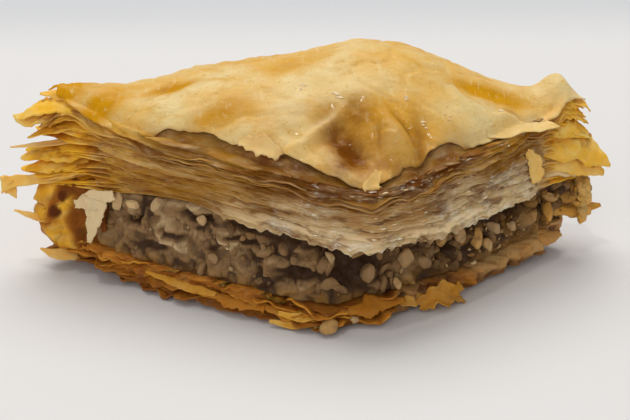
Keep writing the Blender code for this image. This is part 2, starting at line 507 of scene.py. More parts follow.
def skin_finish(colours):
    """Thin baked pastry, glazed with syrup: mottled, freckled and gold where it has pooled."""
    finish = Finish("Glazed Skin", colours.skin_pale)
    finish.set(coat_weight=0.16, coat_roughness=0.06, specular_ior_level=0.1, ior=1.12)
    finish.soft(0.25, 0.8, (1.0, 0.55, 0.2))
    mottle = finish.between(finish.cloud(6.5, 4.0, seed=1.0), 0.34, 0.62)
    finish.tint(mottle, colours.skin_peach)
    patches = finish.between(finish.cloud((3.4, 2.0, 2.0), 4.0, 0.6, seed=3.0), 0.52, 0.74, 0.0, 0.6)
    finish.tint(patches, colours.skin_gold)
    finish.tint(finish.tone("pale"), colours.skin_pale)
    rich = finish.between(finish.cloud((1.6, 1.0, 1.0), 4.0, 0.65, seed=4.0), 0.3, 0.6, 0.85, 1.0)
    finish.tint(finish.times(finish.tone("gold"), rich), colours.skin_gold)
    cracks = finish.between(finish.cloud((0.5, 3.2, 0.8), 3.0, 0.6, seed=5.0), 0.58, 0.66, 0.0, 0.4)
    finish.tint(cracks, colours.skin_pale)
    freckles = finish.between(finish.cloud(0.5, 3.0, seed=6.0), 0.58, 0.68, 0.0, 0.45)
    finish.tint(freckles, colours.skin_gold)
    # Painted shade: the brown tone, in patches, darkens the hollows, troughs and creases.
    soaked = finish.between(finish.cloud(1.2, 4.0, 0.65, seed=7.0), 0.3, 0.6, 0.7, 1.0)
    finish.tint(finish.times(finish.tone("brown"), soaked), colours.skin_brown_and_shade)
    finish.dull(1.5, 9.0, 0.34, 0.6)
    grain = finish.relief(finish.cloud(0.4, 4.0, 0.6, seed=11.0), 0.12, 0.7)
    finish.feed(finish.relief(finish.cloud((2.6, 1.3, 2.0), 3.0, 0.5, seed=13.0), 0.6, 0.6, grain), "Normal")
    return finish.done()


def leaf_finish(colours):
    """Soaked pastry leaves: beige, streaked along the sheets, gold at the dry ends, brown under the skin,
    partly as painted shadow, and with painted highlights on the cut.
    """
    finish = Finish("Soaked Leaves", colours.leaf_beige)
    finish.set(coat_weight=0.06, coat_roughness=0.1, specular_ior_level=0.1, ior=1.14)
    finish.soft(0.3, 0.25, (1.0, 0.6, 0.2))
    pale = finish.between(finish.streaks(3.0, 0.5, seed=21.0), 0.44, 0.66)
    finish.tint(pale, colours.leaf_cream_and_highlight)
    finish.tint(finish.tone("cream"), colours.leaf_cream_and_highlight)
    # Painted highlights: pale streaks where the cut leaves are wet.
    lit = finish.between(finish.streaks(2.0, 1.7, 5.0, seed=24.0), 0.58, 0.68, 0.0, 0.7)
    finish.tint(finish.times(finish.tone("wet_glints"), lit), colours.leaf_cream_and_highlight)
    # The brown tone carries browning and also painted shade, where sheets are set back and under the skin's
    # rim.
    uneven = finish.between(finish.streaks(2.6, 0.5, seed=26.0), 0.3, 0.55, 0.5, 1.0)
    finish.tint(finish.times(finish.tone("brown"), uneven), colours.leaf_brown_and_shade)
    soaked = finish.between(finish.streaks(3.6, 0.4, seed=22.0), 0.52, 0.36, 0.0, 0.75)
    finish.tint(soaked, colours.leaf_brown_and_shade)
    finish.tint(finish.times(finish.tone("edge"), 0.3), colours.leaf_beige)
    pale = finish.between(finish.streaks(5.0, 0.35, seed=27.0), 0.48, 0.66, 0.0, 0.85)
    golden = finish.blend(pale, colours.leaf_gold, colours.leaf_straw)
    browned = finish.between(finish.streaks(4.0, 0.35, seed=28.0), 0.52, 0.36, 0.0, 0.8)
    golden = finish.blend(browned, golden, colours.base_brown)
    finish.tint(finish.tone("gold"), golden)
    # Painted highlights: pale patches in the cream lip and near-white glint streaks where the cut leaves are
    # wet.
    sheen_patches = finish.between(finish.streaks(2.0, 0.45, 4.0, seed=30.0), 0.42, 0.6, 0.0, 0.6)
    sheen_patches = finish.times(finish.tone("cream"), sheen_patches)
    finish.tint(finish.times(finish.tone("wet_glints"), sheen_patches), colours.painted_glint)
    glints = finish.between(finish.streaks(0.9, 1.0, 3.0, seed=29.0), 0.57, 0.66, 0.0, 0.7)
    finish.tint(finish.times(finish.tone("wet_glints"), glints), colours.painted_glint)
    finish.dull(0.8, 23.0, 0.2, 0.5)
    finish.feed(finish.relief(finish.streaks(1.2, 1.6, seed=25.0), 0.25, 0.8), "Normal")
    return finish.done()


def nut_finish(colours):
    """Chopped nuts in syrup; each piece carries its own shade, from soaked to freshly broken."""
    finish = Finish("Chopped Nuts", colours.nut_dark_and_shade)
    finish.set(coat_weight=0.08, coat_roughness=0.15, specular_ior_level=0.15)
    finish.soft(0.3, 0.8, (1.0, 0.65, 0.35))
    shade = finish.tone("shade")
    finish.tint(finish.between(shade, 0.1, 0.5), colours.nut_mid)
    finish.tint(finish.between(shade, 0.5, 1.2), colours.nut_pale)
    finish.tint(finish.tone("orange"), colours.nut_ochre)
    blotch = finish.between(finish.cloud(1.3, 5.0, 0.65, seed=31.0), 0.48, 0.7, 0.0, 0.6)
    finish.tint(blotch, colours.nut_dark_and_shade)
    finish.dull(0.7, 33.0, 0.3, 0.65)
    finish.feed(finish.relief(finish.cloud(0.4, 6.0, 0.7, seed=35.0), 0.36, 0.9), "Normal")
    return finish.done()


def base_finish(colours):
    """Browned leaves at the bottom: red-brown, orange at the torn edges, blotched dark."""
    finish = Finish("Browned Leaves", colours.base_brown)
    finish.set(coat_weight=0.12, coat_roughness=0.1, specular_ior_level=0.12, ior=1.3)
    finish.soft(0.25, 0.7, (1.0, 0.45, 0.15))
    streak = finish.between(finish.cloud((2.0, 2.0, 0.4), 4.0, 0.6, seed=41.0), 0.42, 0.72, 0.0, 0.75)
    finish.tint(streak, colours.base_orange)
    finish.tint(finish.tone("orange"), colours.base_orange)
    beige = finish.between(finish.cloud(2.6, 4.0, 0.6, seed=42.0), 0.55, 0.75, 0.0, 0.4)
    finish.tint(finish.greater(beige, finish.tone("pale")), colours.leaf_beige)
    # Dark blotches, and the dark tone, which is partly painted shade low down and in recesses.
    dark = finish.between(finish.cloud(1.8, 3.0, seed=43.0), 0.55, 0.75, 0.0, 0.6)
    finish.tint(finish.greater(dark, finish.tone("dark")), colours.base_dark_and_shade)
    finish.dull(0.9, 45.0, 0.26, 0.56)
    finish.feed(finish.relief(finish.cloud((1.0, 1.0, 0.3), 5.0, 0.65, seed=47.0), 0.3, 0.9), "Normal")
    return finish.done()


def scrap_finish(colours):
    """Loose scraps of pastry, cream unless their own tone is gold or brown."""
    finish = Finish("Loose Scraps", colours.leaf_cream_and_highlight)
    finish.set(coat_weight=0.06, coat_roughness=0.1, specular_ior_level=0.1, ior=1.14)
    finish.soft(0.2, 0.15, (1.0, 0.6, 0.2))
    cloudy = finish.between(finish.cloud((2.5, 2.5, 1.2), 4.0, 0.6, seed=50.0), 0.4, 0.65, 0.0, 0.6)
    golden = finish.blend(cloudy, colours.leaf_gold, colours.leaf_straw)
    finish.tint(finish.tone("gold"), golden)
    spots = finish.between(finish.cloud(0.9, 5.0, 0.65, seed=51.0), 0.52, 0.66, 0.0, 0.55)
    finish.tint(finish.times(finish.tone("brown"), spots), colours.base_dark_and_shade)
    finish.tint(finish.tone("brown"), colours.base_brown)
    finish.tint(finish.tone("dark"), colours.base_dark_and_shade)
    finish.dull(0.8, 52.0, 0.3, 0.6)
    finish.feed(finish.relief(finish.cloud(0.5, 5.0, 0.65, seed=53.0), 0.2, 0.7), "Normal")
    return finish.done()


def painted_glint_finish(colours):
    """Beads of syrup, coloured near white as a painted highlight, with patches of pale skin colour."""
    finish = Finish("Syrup Painted Glint", colours.painted_glint)
    finish.set(roughness=0.1, coat_weight=1.0, coat_roughness=0.03)
    thin = finish.between(finish.cloud(0.4, seed=61.0), 0.35, 0.55, 0.0, 0.9)
    finish.tint(thin, colours.skin_pale)
    return finish.done()


# ---------------------------------------------------------------- the glazed skin

# Swellings and dents of the skin: where (x, y, length, width, turn) and how high, all but the turn in
# millimetres.
SKIN_SWELLINGS = (
    ((0.6, -14.6, 4.6, 4.6, 0), -1.0),
    ((-0.4, -13.6, 1.7, 3.8, 14), -1.3),  # the hollow beside the crease
    ((4.5, -14.4, 1.6, 1.9, 0), 1.25),  # the blister
    ((7.7, -14.2, 1.0, 3.4, -16), -0.7),  # the trough on its other side
    ((-6.0, -11.4, 4.5, 1.8, 22), 0.55),
    ((-17.2, -2.6, 3.4, 1.0, 6), -0.35),
    ((19.2, -4.3, 5.2, 1.5, 8), -0.7),  # the pool of syrup
    ((-13.0, -9.5, 5.0, 1.6, 18), -0.3),
    ((-22.0, 3.0, 5.0, 2.0, -10), -0.4),
    ((8.0, 12.0, 6.0, 2.5, -25), -0.8),
    ((-7.0, 13.0, 5.0, 2.0, 30), -0.6),
    ((-2.2, -11.8, 3.4, 0.45, 38), 0.6),  # the crease left of the hollow
    ((-6.2, -14.4, 2.0, 0.5, 24), 0.4),
    ((-2.0, -12.9, 3.6, 0.5, 38), -0.45),
    ((6.2, -13.0, 2.2, 0.4, -62), -0.5),  # creases round the blister
    ((2.8, -13.6, 1.8, 0.4, 75), -0.55),
    ((4.3, -14.6, 1.4, 0.22, 50), 0.14),
    ((29.0, 0.0, 2.2, 4.0, 0), 2.6),  # the curled right tip
    ((-28.5, 1.0, 6.0, 6.0, 0), 1.1),
)

# Tones of the skin: which, where and how strong. The brown ones in the hollows, troughs and creases are
# painted shade, and the pale one along the crease's ridge is a painted highlight.
SKIN_TONES = (
    ("gold", (-17.2, -2.8, 3.0, 1.0, 6), 1.5),
    ("gold", (-1.0, 0.8, 6.0, 1.1, 0), 0.45),
    ("gold", (-3.0, -1.2, 5.5, 1.7, 6), 0.55),
    ("gold", (-6.0, 7.0, 14.0, 3.0, 20), 0.75),
    ("gold", (10.0, 4.0, 6.0, 3.0, -20), 0.35),
    ("brown", (2.9, -13.6, 1.7, 0.3, 75), 0.85),
    ("brown", (6.1, -13.0, 2.2, 0.35, -62), 0.8),
    ("brown", (4.4, -14.7, 1.4, 0.14, 50), 0.35),
    ("gold", (-12.2, -8.6, 5.0, 2.2, 16), 0.9),
    ("gold", (4.2, -13.0, 6.4, 4.6, 0), 0.95),
    ("brown", (2.0, -14.6, 5.0, 3.2, 0), 0.42),
    ("brown", (-17.4, -2.8, 2.8, 0.8, 6), 0.22),
    ("gold", (19.0, -8.4, 4.5, 1.0, 22), 0.5),
    ("gold", (0.9, -10.9, 2.0, 1.4, 0), 0.8),
    ("gold", (19.2, -3.9, 5.6, 1.5, 8), 1.4),
    ("gold", (8.0, -12.8, 1.3, 2.6, -10), 0.7),
    ("gold", (-25.5, -3.6, 4.4, 1.8, 35), 1.3),
    ("gold", (-30.0, 0.0, 4.2, 3.4, 0), 1.5),
    ("gold", (25.0, -2.0, 2.4, 2.0, 0), 0.4),
    ("pale", (29.8, -0.5, 2.6, 3.4, 0), 1.0),
    ("gold", (6.0, 11.5, 7.0, 2.5, -25), 0.6),
    ("gold", (-12.0, 9.0, 6.0, 2.0, 30), 0.5),
    ("brown", (-0.8, -14.2, 2.2, 4.2, 12), 1.25),
    ("brown", (1.2, -10.8, 2.0, 1.9, 20), 0.7),
    ("brown", (2.6, -16.6, 2.8, 1.2, -10), 0.7),
    ("brown", (7.4, -14.2, 1.1, 3.2, -15), 0.65),
    ("gold", (5.6, -10.4, 3.4, 1.4, -20), 0.8),
    ("brown", (21.4, -5.9, 1.3, 0.5, 10), 0.45),
    ("brown", (9.0, 13.0, 3.5, 1.6, -30), 0.5),
    ("pale", (-7.0, -11.0, 4.2, 1.8, 20), 0.3),
    ("pale", (-2.6, -11.6, 3.6, 0.5, 38), 0.9),
    ("brown", (-1.6, -12.9, 2.6, 0.5, 38), 0.5),
    ("brown", (-12.5, -8.8, 3.6, 1.8, 16), 0.22),
    ("brown", (-6.0, -10.6, 5.0, 1.8, 20), 0.27),
    ("brown", (-1.6, -16.6, 2.2, 1.4, 20), 1.0),
    ("pale", (15.8, -9.6, 3.4, 1.2, 24), 0.9),
    ("pale", (13.6, -9.0, 4.6, 1.3, 22), 0.8),
    ("pale", (4.6, -14.3, 1.5, 1.9, 0), 0.5),
    ("brown", (12.0, -12.4, 3.6, 1.4, 30), 0.2),
    ("pale", (24.0, -5.6, 2.0, 1.1, 30), 0.8),
    ("pale", (-1.0, -7.0, 7.0, 2.0, 0), 0.6),
)

SKIN_TONE_NAMES = ("gold", "brown", "pale")
SKIN_LIP = 0.15 * MM  # how far the skin stands out past the cut
LIP_DROP = 0.5 * MM
SIDE = math.hypot(HALF_LENGTH, HALF_WIDTH)

# How far the skin's front edge is torn back, in millimetres, and where it is torn further: the distance from
# the front corner, left of it negative, how wide and how deep.
SKIN_SHORT = 1.4
SKIN_TEARS = ((-18.5, 4.5, 1.4), (-10.0, 3.5, 1.1), (-5.5, 2.2, 0.5), (10.0, 5.5, 1.2))
TIP_TEARS = (-1.0 * MM, 0.4 * MM)  # how far the skin reaches past the left tip and the right one

# The sheets that follow the skin's dome just under it: how deep, how far past the cut, how ragged, how far
# each reaches and drops at the left tip and at the right one, all in millimetres, and how brown.
UNDER_SHEETS = (
    (0.30, 0.05, 0.6, 1.2, 1.2, 1.0, 0.2, 0.9),
    (0.62, 0.40, 0.45, 2.2, 2.2, 0.6, 0.9, 1.0),
    (1.05, 0.15, 0.5, 1.6, 1.8, 1.6, 1.2, 1.0),
)


def skin_height(x, y):
    height = rim_height(x, y) + DOME_HEIGHT * pillow(x, y)
    height += PEAK_HEIGHT * bump(x, y, PEAK_AT, PEAK_SPREAD)
    height += sum(blob(x, y, where) * high for where, high in SKIN_SWELLINGS) * MM
    height += RIPPLE * rough(x, y, 0, RIPPLE_LENGTH, 4.0)
    height += 0.3 * MM * rough(x, y, 0, 3.2 * MM, 6.0)
    folds = abs(rough(x, y, 0, 5.0 * MM, 7.0))
    return height - 0.18 * MM * max(0.0, 0.16 - folds) / 0.16 + 0.08 * MM * rough(x, y, 0, 1.1 * MM, 8.0)


def skin_tones(x, y):
    tones = dict.fromkeys(SKIN_TONE_NAMES, 0.0)
    for name, where, strength in SKIN_TONES:
        tones[name] = max(tones[name], strength * blob(x, y, where))
    pale = tones["pale"]
    return tones["gold"] * (1 - 0.8 * pale), tones["brown"] * (1 - 0.6 * pale), pale


def lip_drop(share, x, y):
    """How far the skin and the sheets just under it turn down at the cut."""
    return LIP_DROP * (0.45 + 1.6 * rough(x, y, 0, 4 * MM, 17.0)) * ramp(share, 0.95, 1.0) ** 2


def torn_back(from_front):
    along = from_front / MM
    short = SKIN_SHORT * (1 - ramp(abs(along), 22.0, 32.0))
    return (short + sum(depth * bell(along - at, wide) for at, wide, depth in SKIN_TEARS)) * MM


def skin_point(a, b):
    """The skin's point at a along the long diagonal and b along the short one; |a| + |b| is 1 at the cut."""
    share = max(1e-9, abs(a) + abs(b))
    x = HALF_LENGTH * share * signed_power(a / share, CORNER_SHARPNESS / 2)
    y = HALF_WIDTH * share * signed_power(b / share, CORNER_SHARPNESS / 2)
    edge = ramp(share, 0.5, 1.0)
    out = Vector((a / (abs(a) + 0.04) / HALF_LENGTH, b / (abs(b) + 0.04) / HALF_WIDTH)).normalized()
    reach = SKIN_LIP + 0.45 * MM * rough(x, y, 0, 3.6 * MM, 14.0) + 0.14 * MM * rough(x, y, 0, 0.8 * MM, 15.0)
    reach += TIP_TEARS[a > 0] * bell(1 - abs(a), 0.08) * (1 + 1.2 * rough(x, y, 0, 1.2 * MM, 16.0))
    if b < 0:
        reach -= torn_back(a * SIDE) * (1 + 0.2 * rough(x, y, 0, 5 * MM, 18.0))
    x, y = x + out.x * reach * edge, y + out.y * reach * edge
    return Vector((*lean(x, y), skin_height(x, y) - lip_drop(share, x, y))), skin_tones(x, y)


def add_under_sheet(mesh, number, row):
    """A sheet just under the skin, which shows where the skin is torn back and at the two tips."""
    deep, past, ragged, left_reach, left_drop, right_reach, right_drop, browned = row
    seed = 200.0 + 7 * number

    def shape(rim, t):
        out = 1 - (1 - t) ** 2
        left, right = bell(rim.left - 0.6 * MM * number, 2.4 * MM), bell(rim.right, 2.8 * MM)
        jag = 0.3 + 2.4 * abs(waver(rim, 0.8, seed))
        reach = past + ragged * waver(rim, 4, seed + 1)
        reach += 0.22 * waver(rim, 1, seed + 2)
        reach = (reach + (left_reach * left + right_reach * right) * jag) * MM
        x, y = leaf_place(rim, LEAF_ROOT, out, reach * out**3)
        drop = left_drop * left + right_drop * right
        z = skin_height(x, y) - (deep + 0.25 + (1 - out) + drop * out**6) * MM
        z -= lip_drop(LEAF_ROOT + (1 - LEAF_ROOT) * out, x, y)
        z -= (0.25 + 0.5 * waver(rim, 5, seed + 3)) * MM * out**10
        dry = max(bell(rim.left, 9 * MM), bell(rim.right, 8 * MM))
        gold = max(dry, 0.1 + 0.3 * waver(rim, 5, seed + 5))
        # Brown here is partly browning and partly a painted shadow under the skin's torn edge.
        brown = browned * (1 - dry) * clamp(0.9 + 0.7 * rough(x, y, 0, 2.2 * MM, seed + 4))
        # The fourth tone gives these sheets a few painted glint streaks.
        tones = (gold, brown, 0.0, 0.15, ramp(out, 0.97, 1.0), 50.0 + 3 * number + 14 * out)
        return Vector((*lean(x, y), z)), tones

    add_band(mesh, shape, LEAF_TONES)


def add_skin(mesh):
    def shape(u, v):
        u, v = 2 * u - 1, 2 * v - 1
        return skin_point((u + v) / 2, (v - u) / 2)

    add_sheet(mesh, shape, SKIN_TONE_NAMES, SKIN_STEPS, SKIN_STEPS)


# Torn edges of further sheets lying on the skin: points along the edge, in millimetres, then which side the
# sheet lies on (1 is left of the edge's direction), how far back it shows and how far its edge lifts.
OVERLAPS = (
    (((14.2, -4.0), (15.4, -6.9), (17.8, -7.6), (20.4, -6.7), (22.8, -6.3), (25.4, -5.0)), -1, 2.6, 0.24),
    (((-24.0, 1.0), (-16.0, 3.5), (-8.0, 8.0), (-3.0, 13.0)), -1, 2.0, 0.12),
    (((20.0, 3.0), (12.0, 7.0), (8.0, 12.5)), 1, 2.0, 0.12),
)


def curve_point(points, share):
    """A smooth curve through the points, share of the way along, with its direction."""
    points = [Vector(point) * MM for point in points]
    return spine_point([2 * points[0] - points[1], *points, 2 * points[-1] - points[-2]], share)


def spine_point(points, share):
    """The same for a list that already has a point before its first and after its last."""
    place = min(share, 0.9999) * (len(points) - 3)
    index = int(place)
    t = place - index
    p0, p1, p2, p3 = points[index : index + 4]
    slope, bend, twist = p2 - p0, 2 * p0 - 5 * p1 + 4 * p2 - p3, 3 * p1 - p0 - 3 * p2 + p3
    at = 0.5 * (2 * p1 + slope * t + bend * t**2 + twist * t**3)
    towards = 0.5 * (slope + 2 * bend * t + 3 * twist * t**2)
    return at, towards.normalized()


def add_overlap(mesh, points, side, depth, lift, seed):
    """A strip of sheet with a torn, lifted edge along the points, whose back runs into the skin."""

    def shape(back, share):
        at, towards = curve_point(points, share)
        away = Vector((-towards.y, towards.x)) * side
        torn = 0.25 * rough(at.x, at.y, 0, 1.3 * MM, seed) + 0.12 * rough(at.x, at.y, 0, 0.5 * MM, seed + 1)
        at = at + away * (depth * back + torn * (1 - back)) * MM
        shown = ramp(share, 0.0, 0.15) * (1 - ramp(share, 0.85, 1.0))
        uneven = 0.75 + 0.5 * rough(at.x, at.y, 0, 2 * MM, seed + 2)
        raised = (lift * uneven * (1 - back) ** 1.5 + 0.1) * shown
        z = skin_height(at.x, at.y) + (raised - 0.16 * ramp(back, 0.5, 1.0) - 0.1 * (1 - shown)) * MM
        gold, brown, pale = skin_tones(at.x, at.y)
        return Vector((*lean(at.x, at.y), z)), (gold * 0.6, brown * 0.5, max(pale, 0.7 * (1 - back)))

    add_sheet(mesh, shape, SKIN_TONE_NAMES, *OVERLAP_STEPS)


# ---------------------------------------------------------------- the leaves of the top stack

# How the leaves bunch at the two sharp ends, top bunch first: the lowest and highest level of the bunch, then
# how far its tip reaches and drops and how wide it is, in millimetres.
LEFT_BUNCHES = (
    (0.86, 1.00, 2.9, 2.4, 2.6),
    (0.66, 0.86, 1.2, 0.9, 2.4),
    (0.57, 0.66, 3.6, 0.4, 1.1),
    (0.38, 0.57, 2.8, 0.6, 2.2),
    (0.16, 0.38, 2.4, 0.5, 2.6),
    (0.00, 0.16, 1.2, -0.3, 2.4),
)
RIGHT_BUNCHES = (
    (0.84, 1.00, 1.0, 0.6, 2.8),
    (0.66, 0.84, 1.7, 1.2, 2.6),
    (0.46, 0.66, 2.6, 1.8, 2.6),
    (0.20, 0.46, 4.2, 2.4, 3.0),
    (0.00, 0.20, 3.4, 0.8, 2.4),
)
END_SPREAD = 6.5 * MM  # how far along the cut from a sharp end its leaves bunch
LEAF_GROUPS = 3  # pieces that the leaves are joined into

LEAF_TONES = ("gold", "brown", "cream", "wet_glints", "edge", "sheet")

# The fused sheets of the cut face hang like shingles, coarse ones and fine ones: how many there are up the
# face, how far they wander up and down, in sheets, then how far their lower edges stand out and the length of
# a wave, in millimetres.
SHINGLES = ((8, 0.9, 0.75, 8.0), (25, 1.2, 0.26, 3.2))
LIP_LEVEL, LIP_TALL = 0.08, 0.17  # where the lowest sheets swell out furthest, and how tall the swelling is


def hung_lip(rim):
    """How strongly the lowest sheets swell out and hang over the nuts, near the front corner and right of
    it."""
    at = rim.front / MM
    return ramp(at, -19, -14) * (1 - 0.8 * ramp(at, 6, 32))


def leaf_tones(rim, level, stands, end, x, y, z):
    """How gold, brown and cream a leaf is there, and how strongly it gets painted glints. Sheets that stand
    out are paler and those set back browner, as painted light and shade, and the top band under the skin
    gets a painted shadow.
    """
    from_front = rim.front / MM
    left_side = ramp(from_front, 4, -6) * (1 - ramp(from_front, -26, -36))
    right_side = ramp(from_front, 6, 14)
    # Brown high up the stack is a painted shadow under the skin's rim.
    brown = max(0.85 * ramp(level, 0.4, 0.7) * left_side, ramp(level, 0.62, 0.82), 0.35 * left_side)
    brown = max(brown - 0.3 * right_side, 0.3 * (1 - bell(rim.front, 26 * MM)) * (1 - right_side))
    front = bell(rim.front + 4 * MM, 14 * MM)
    # Sheets that are set back turn browner, as painted shade, and the top band near the front corner darker
    # still.
    brown += 0.5 * rough(x, y, level * 6 * MM, 5 * MM, 71.0) - 0.45 * stands * (1 - 0.6 * front)
    brown += 0.3 * front * ramp(level, 0.6, 0.8)
    wedge = ramp(from_front, 14, 21) * (1 - ramp(from_front, 26, 31))
    low_left = ramp(from_front, -12, -17) * (1 - ramp(from_front, -29, -35))
    brown -= 0.4 * low_left * ramp(level, 0.6, 0.75)
    brown = max(brown, 0.85 * low_left * (1 - ramp(level, 0.4, 0.6)))
    lip = hung_lip(rim) * (1 - ramp(level, 0.15, 0.35))
    brown -= 0.15 * lip
    uneven = 1.3 + 0.5 * rough(x, y, level * 4 * MM, 4 * MM, 78.0)
    brown = max(brown, wedge * ramp(level, 0.42, 0.55) * uneven)
    cream = 0.95 * hung_lip(rim) * (1 - ramp(level, 0.1, 0.34))
    cream += 0.8 * right_side * (1 - ramp(level, 0.4, 0.75))
    # Sheets that stand out turn paler, as painted light.
    cream += 0.4 * rough(x, y, level * 9 * MM, 4 * MM, 72.0) + 0.3 * stands
    gold = ramp(end, 0.05, 0.5)
    warm = (0.25 * ramp(from_front, -4, -14) + 0.6 * ramp(from_front, -20, -34)) * (1 - 0.7 * lip)
    gold = max(gold, warm * (0.75 + 0.5 * rough(x, y, level * 6 * MM, 5 * MM, 73.0)))
    gold = max(gold, 0.3 * wedge * ramp(level, 0.45, 0.6))
    # Where the cut face gets painted glint streaks and pale patches: around the front corner and right of it,
    # in patches.
    wet_glints = ramp(from_front, -16, -6) * (1 - ramp(from_front, 20, 32))
    wet_glints *= ramp(rough(x, y, z, 3 * MM, 74.0), -0.2, 0.3)
    return clamp(gold), clamp(brown), clamp(cream), wet_glints


def stack_level(rim, level):
    low = filling_top(rim.x, rim.y) + LAYER_GAP
    return low + level * (rim_height(rim.x, rim.y) - low)


def cut_slope(level, front):
    """How far the cut stands out low down and back high up, in millimetres, most of all near the front."""
    return (0.5 - 0.8 * level) * (0.35 + 0.65 * front)


def lip_swell(rim, level):
    return hung_lip(rim) * bell(level - LIP_LEVEL, LIP_TALL)


def torn_drips(rim):
    """How far the torn lower edge of the lip hangs down in narrow points, in millimetres."""
    narrow = 1 - 5 * abs(waver(rim, 2.6, 101.0))
    return 0.5 * max(0.0, narrow) ** 2 + 0.5 * waver(rim, 0.7, 102.0)


def stack_side(rim, level):
    """The stack's cut face, where the fused sheets hang over one another."""
    front, left = bell(rim.front, 15 * MM), ramp(rim.front, -10 * MM, -24 * MM)
    end = bell(rim.left, END_SPREAD) + bell(rim.right, END_SPREAD)
    reach = cut_slope(level, front) - 0.1 - 4.5 * end + 1.3 * lip_swell(rim, level)
    stands, sheet, ribbon = 0.0, 0.0, 0.0
    for number, (count, wander, depth, length) in enumerate(SHINGLES):
        sheet = count * level + wander * waver(rim, 2 * length, 91.0 + number)
        sheet += 0.3 * wander * waver(rim, 0.6 * length, 93.0 + number, level * 5)
        fallen = sheet - math.floor(sheet)
        out = waver(rim, length, 95.0 + number, math.floor(sheet) * 5)
        out += 0.4 * waver(rim, 0.3 * length, 97.0 + number, math.floor(sheet) * 3)
        calmer = 0.4 * front if number == 0 else 0.8 * left
        stands += depth * (out + 0.5 - fallen) * (1 - calmer)
        ribbon = ribbon or out
    reach += stands + 0.06 * waver(rim, 0.7, 99.0, level * 40)
    reach += 0.4 * front * waver(rim, 2.4, 103.0, level * 9)
    reach += 0.3 * front * bell(level - 0.4, 0.3) * waver(rim, 1.1, 104.0, level * 9)
    hang = hung_lip(rim) * (0.3 + 0.8 * waver(rim, 4, 100.0) + torn_drips(rim))
    z = stack_level(rim, level) - max(0.0, hang) * MM * (1 - ramp(level, 0.0, 0.22))
    at = past_cut(rim, reach * MM, z)
    # How far the sheets stand out sets their painted light and shade.
    tones = leaf_tones(rim, level, 0.6 * stands + 0.5 * ribbon, end, rim.x, rim.y, z)
    return Vector((*lean(at.x, at.y), z)), (*tones, 0.0, sheet)


def add_stack_face(mesh):
    add_solid(
        mesh,
        lambda x, y: filling_top(x, y) + LAYER_GAP,
        stack_side,
        lambda x, y: skin_height(x, y) - 3.0 * MM,
        LEAF_TONES,
        FACE_STEPS,
    )


def tooth(away, wide):
    """A sharp point, 1 at 0 and 0 past wide."""
    return max(0.0, 1 - abs(away) / wide) ** 1.4


def add_stack_leaf(mesh, index, count, draw):
    """One leaf of the stack. It stands out past its neighbours in some places and is torn back in others, and
    where it stands out it hangs over the leaf below."""
    level = (index + 0.5 + draw.uniform(-0.35, 0.35)) / count * 0.95
    bunches = {}
    for side, rows in (("left", LEFT_BUNCHES), ("right", RIGHT_BUNCHES)):
        bunches[side] = next(row for row in rows if row[0] <= level <= row[1])
    longer = {side: draw.uniform(0.7, 1.0) for side in bunches}
    shifted = {side: draw.uniform(-0.6, 0.6) * MM for side in bunches}
    seed = 80.0 + index * 2.3

    def shape(rim, t):
        out = 1 - (1 - t) ** 2
        end, tip_reach, drop, pinch = 0.0, 0.0, 0.0, 0.0
        for side in ("left", "right"):
            low, high, reach, fall, wide = bunches[side]
            away = getattr(rim, side)
            near = bell(away, END_SPREAD)
            middle = 3 * MM * math.sin(40 * (low + high))
            spike = 0.6 * bell(away - 0.4 * middle, 1.2 * wide * MM)
            spike += 0.7 * tooth(away - middle - shifted[side], 1.5 * wide * MM)
            jag = 0.8 + 0.9 * abs(waver(rim, 1.1, 85.0, 20 * low))
            tip_reach += reach * spike * longer[side] * jag
            drop += fall * spike * out * out
            pinch += ((low + high) / 2 - level) * near * 0.85 * out
            end += near
        front = bell(rim.front, 12 * MM)
        stands = 0.8 * waver(rim, 7, 75.0, index * 9) - 0.75 * (1 - clamp(1.3 * end))
        stands += 0.35 * waver(rim, 3.0, 76.0, index * 4)
        stands = stands * (1 - 0.6 * clamp(end)) - 0.35 * front * ramp(level, 0.5, 0.8)
        torn = (0.1 + 0.16 * front) * waver(rim, 1.1, seed + 1)
        torn += (0.07 + 0.05 * front) * waver(rim, 0.45, seed + 2)
        reach = cut_slope(level, front) + stands + torn + tip_reach + 1.1 * lip_swell(rim, level)
        x, y = leaf_place(rim, LEAF_ROOT, out, reach * MM * out)
        wave = 0.12 * waver(rim, 3.4, 77.0, index * 0.12)
        wave += 0.06 * waver(rim, 1.0, seed + 3) * (1 - clamp(end))
        hang = 0.35 + 1.3 * max(0.0, stands + 0.1) * (1 - 0.7 * clamp(end))
        z = stack_level(rim, level + pinch) + (wave * out * out - hang * out**6 - drop) * MM
        # How far the sheets stand out sets their painted light and shade.
        tones = leaf_tones(rim, level, 0.3 * stands, clamp(end) * out, x, y, z)
        return Vector((*lean(x, y), z)), (*tones, ramp(out, 0.97, 1.0), index * 2.1)

    add_band(mesh, shape, LEAF_TONES)


# ---------------------------------------------------------------- the chopped nuts

LEFT_NUT_REACH = 1.0 * MM
RIGHT_NUT_REACH = 3.6 * MM
NUT_TONES = ("shade", "orange")
NUT_CUTS = 7  # broken faces of a nut

# Where the glazed nuts at the right end are, and how far they spread from there, in millimetres.
END_NUTS_AT = Vector((32.0, -1.4, 7.4))
END_NUTS_SPREAD = Vector((1.4, 1.4, 2.2))

# The lumps of the cut face, large and small: their size and height in millimetres, how wide the cracks
# between them are, as a share of their size, how much their own shades differ and how dark their edges are;
# the darkened cracks and edges are painted shade.
NUT_LUMPS = ((3.4, 1.3, 0.08, 0.7, 0.5), (1.6, 0.5, 0.06, 0.35, 0.2))

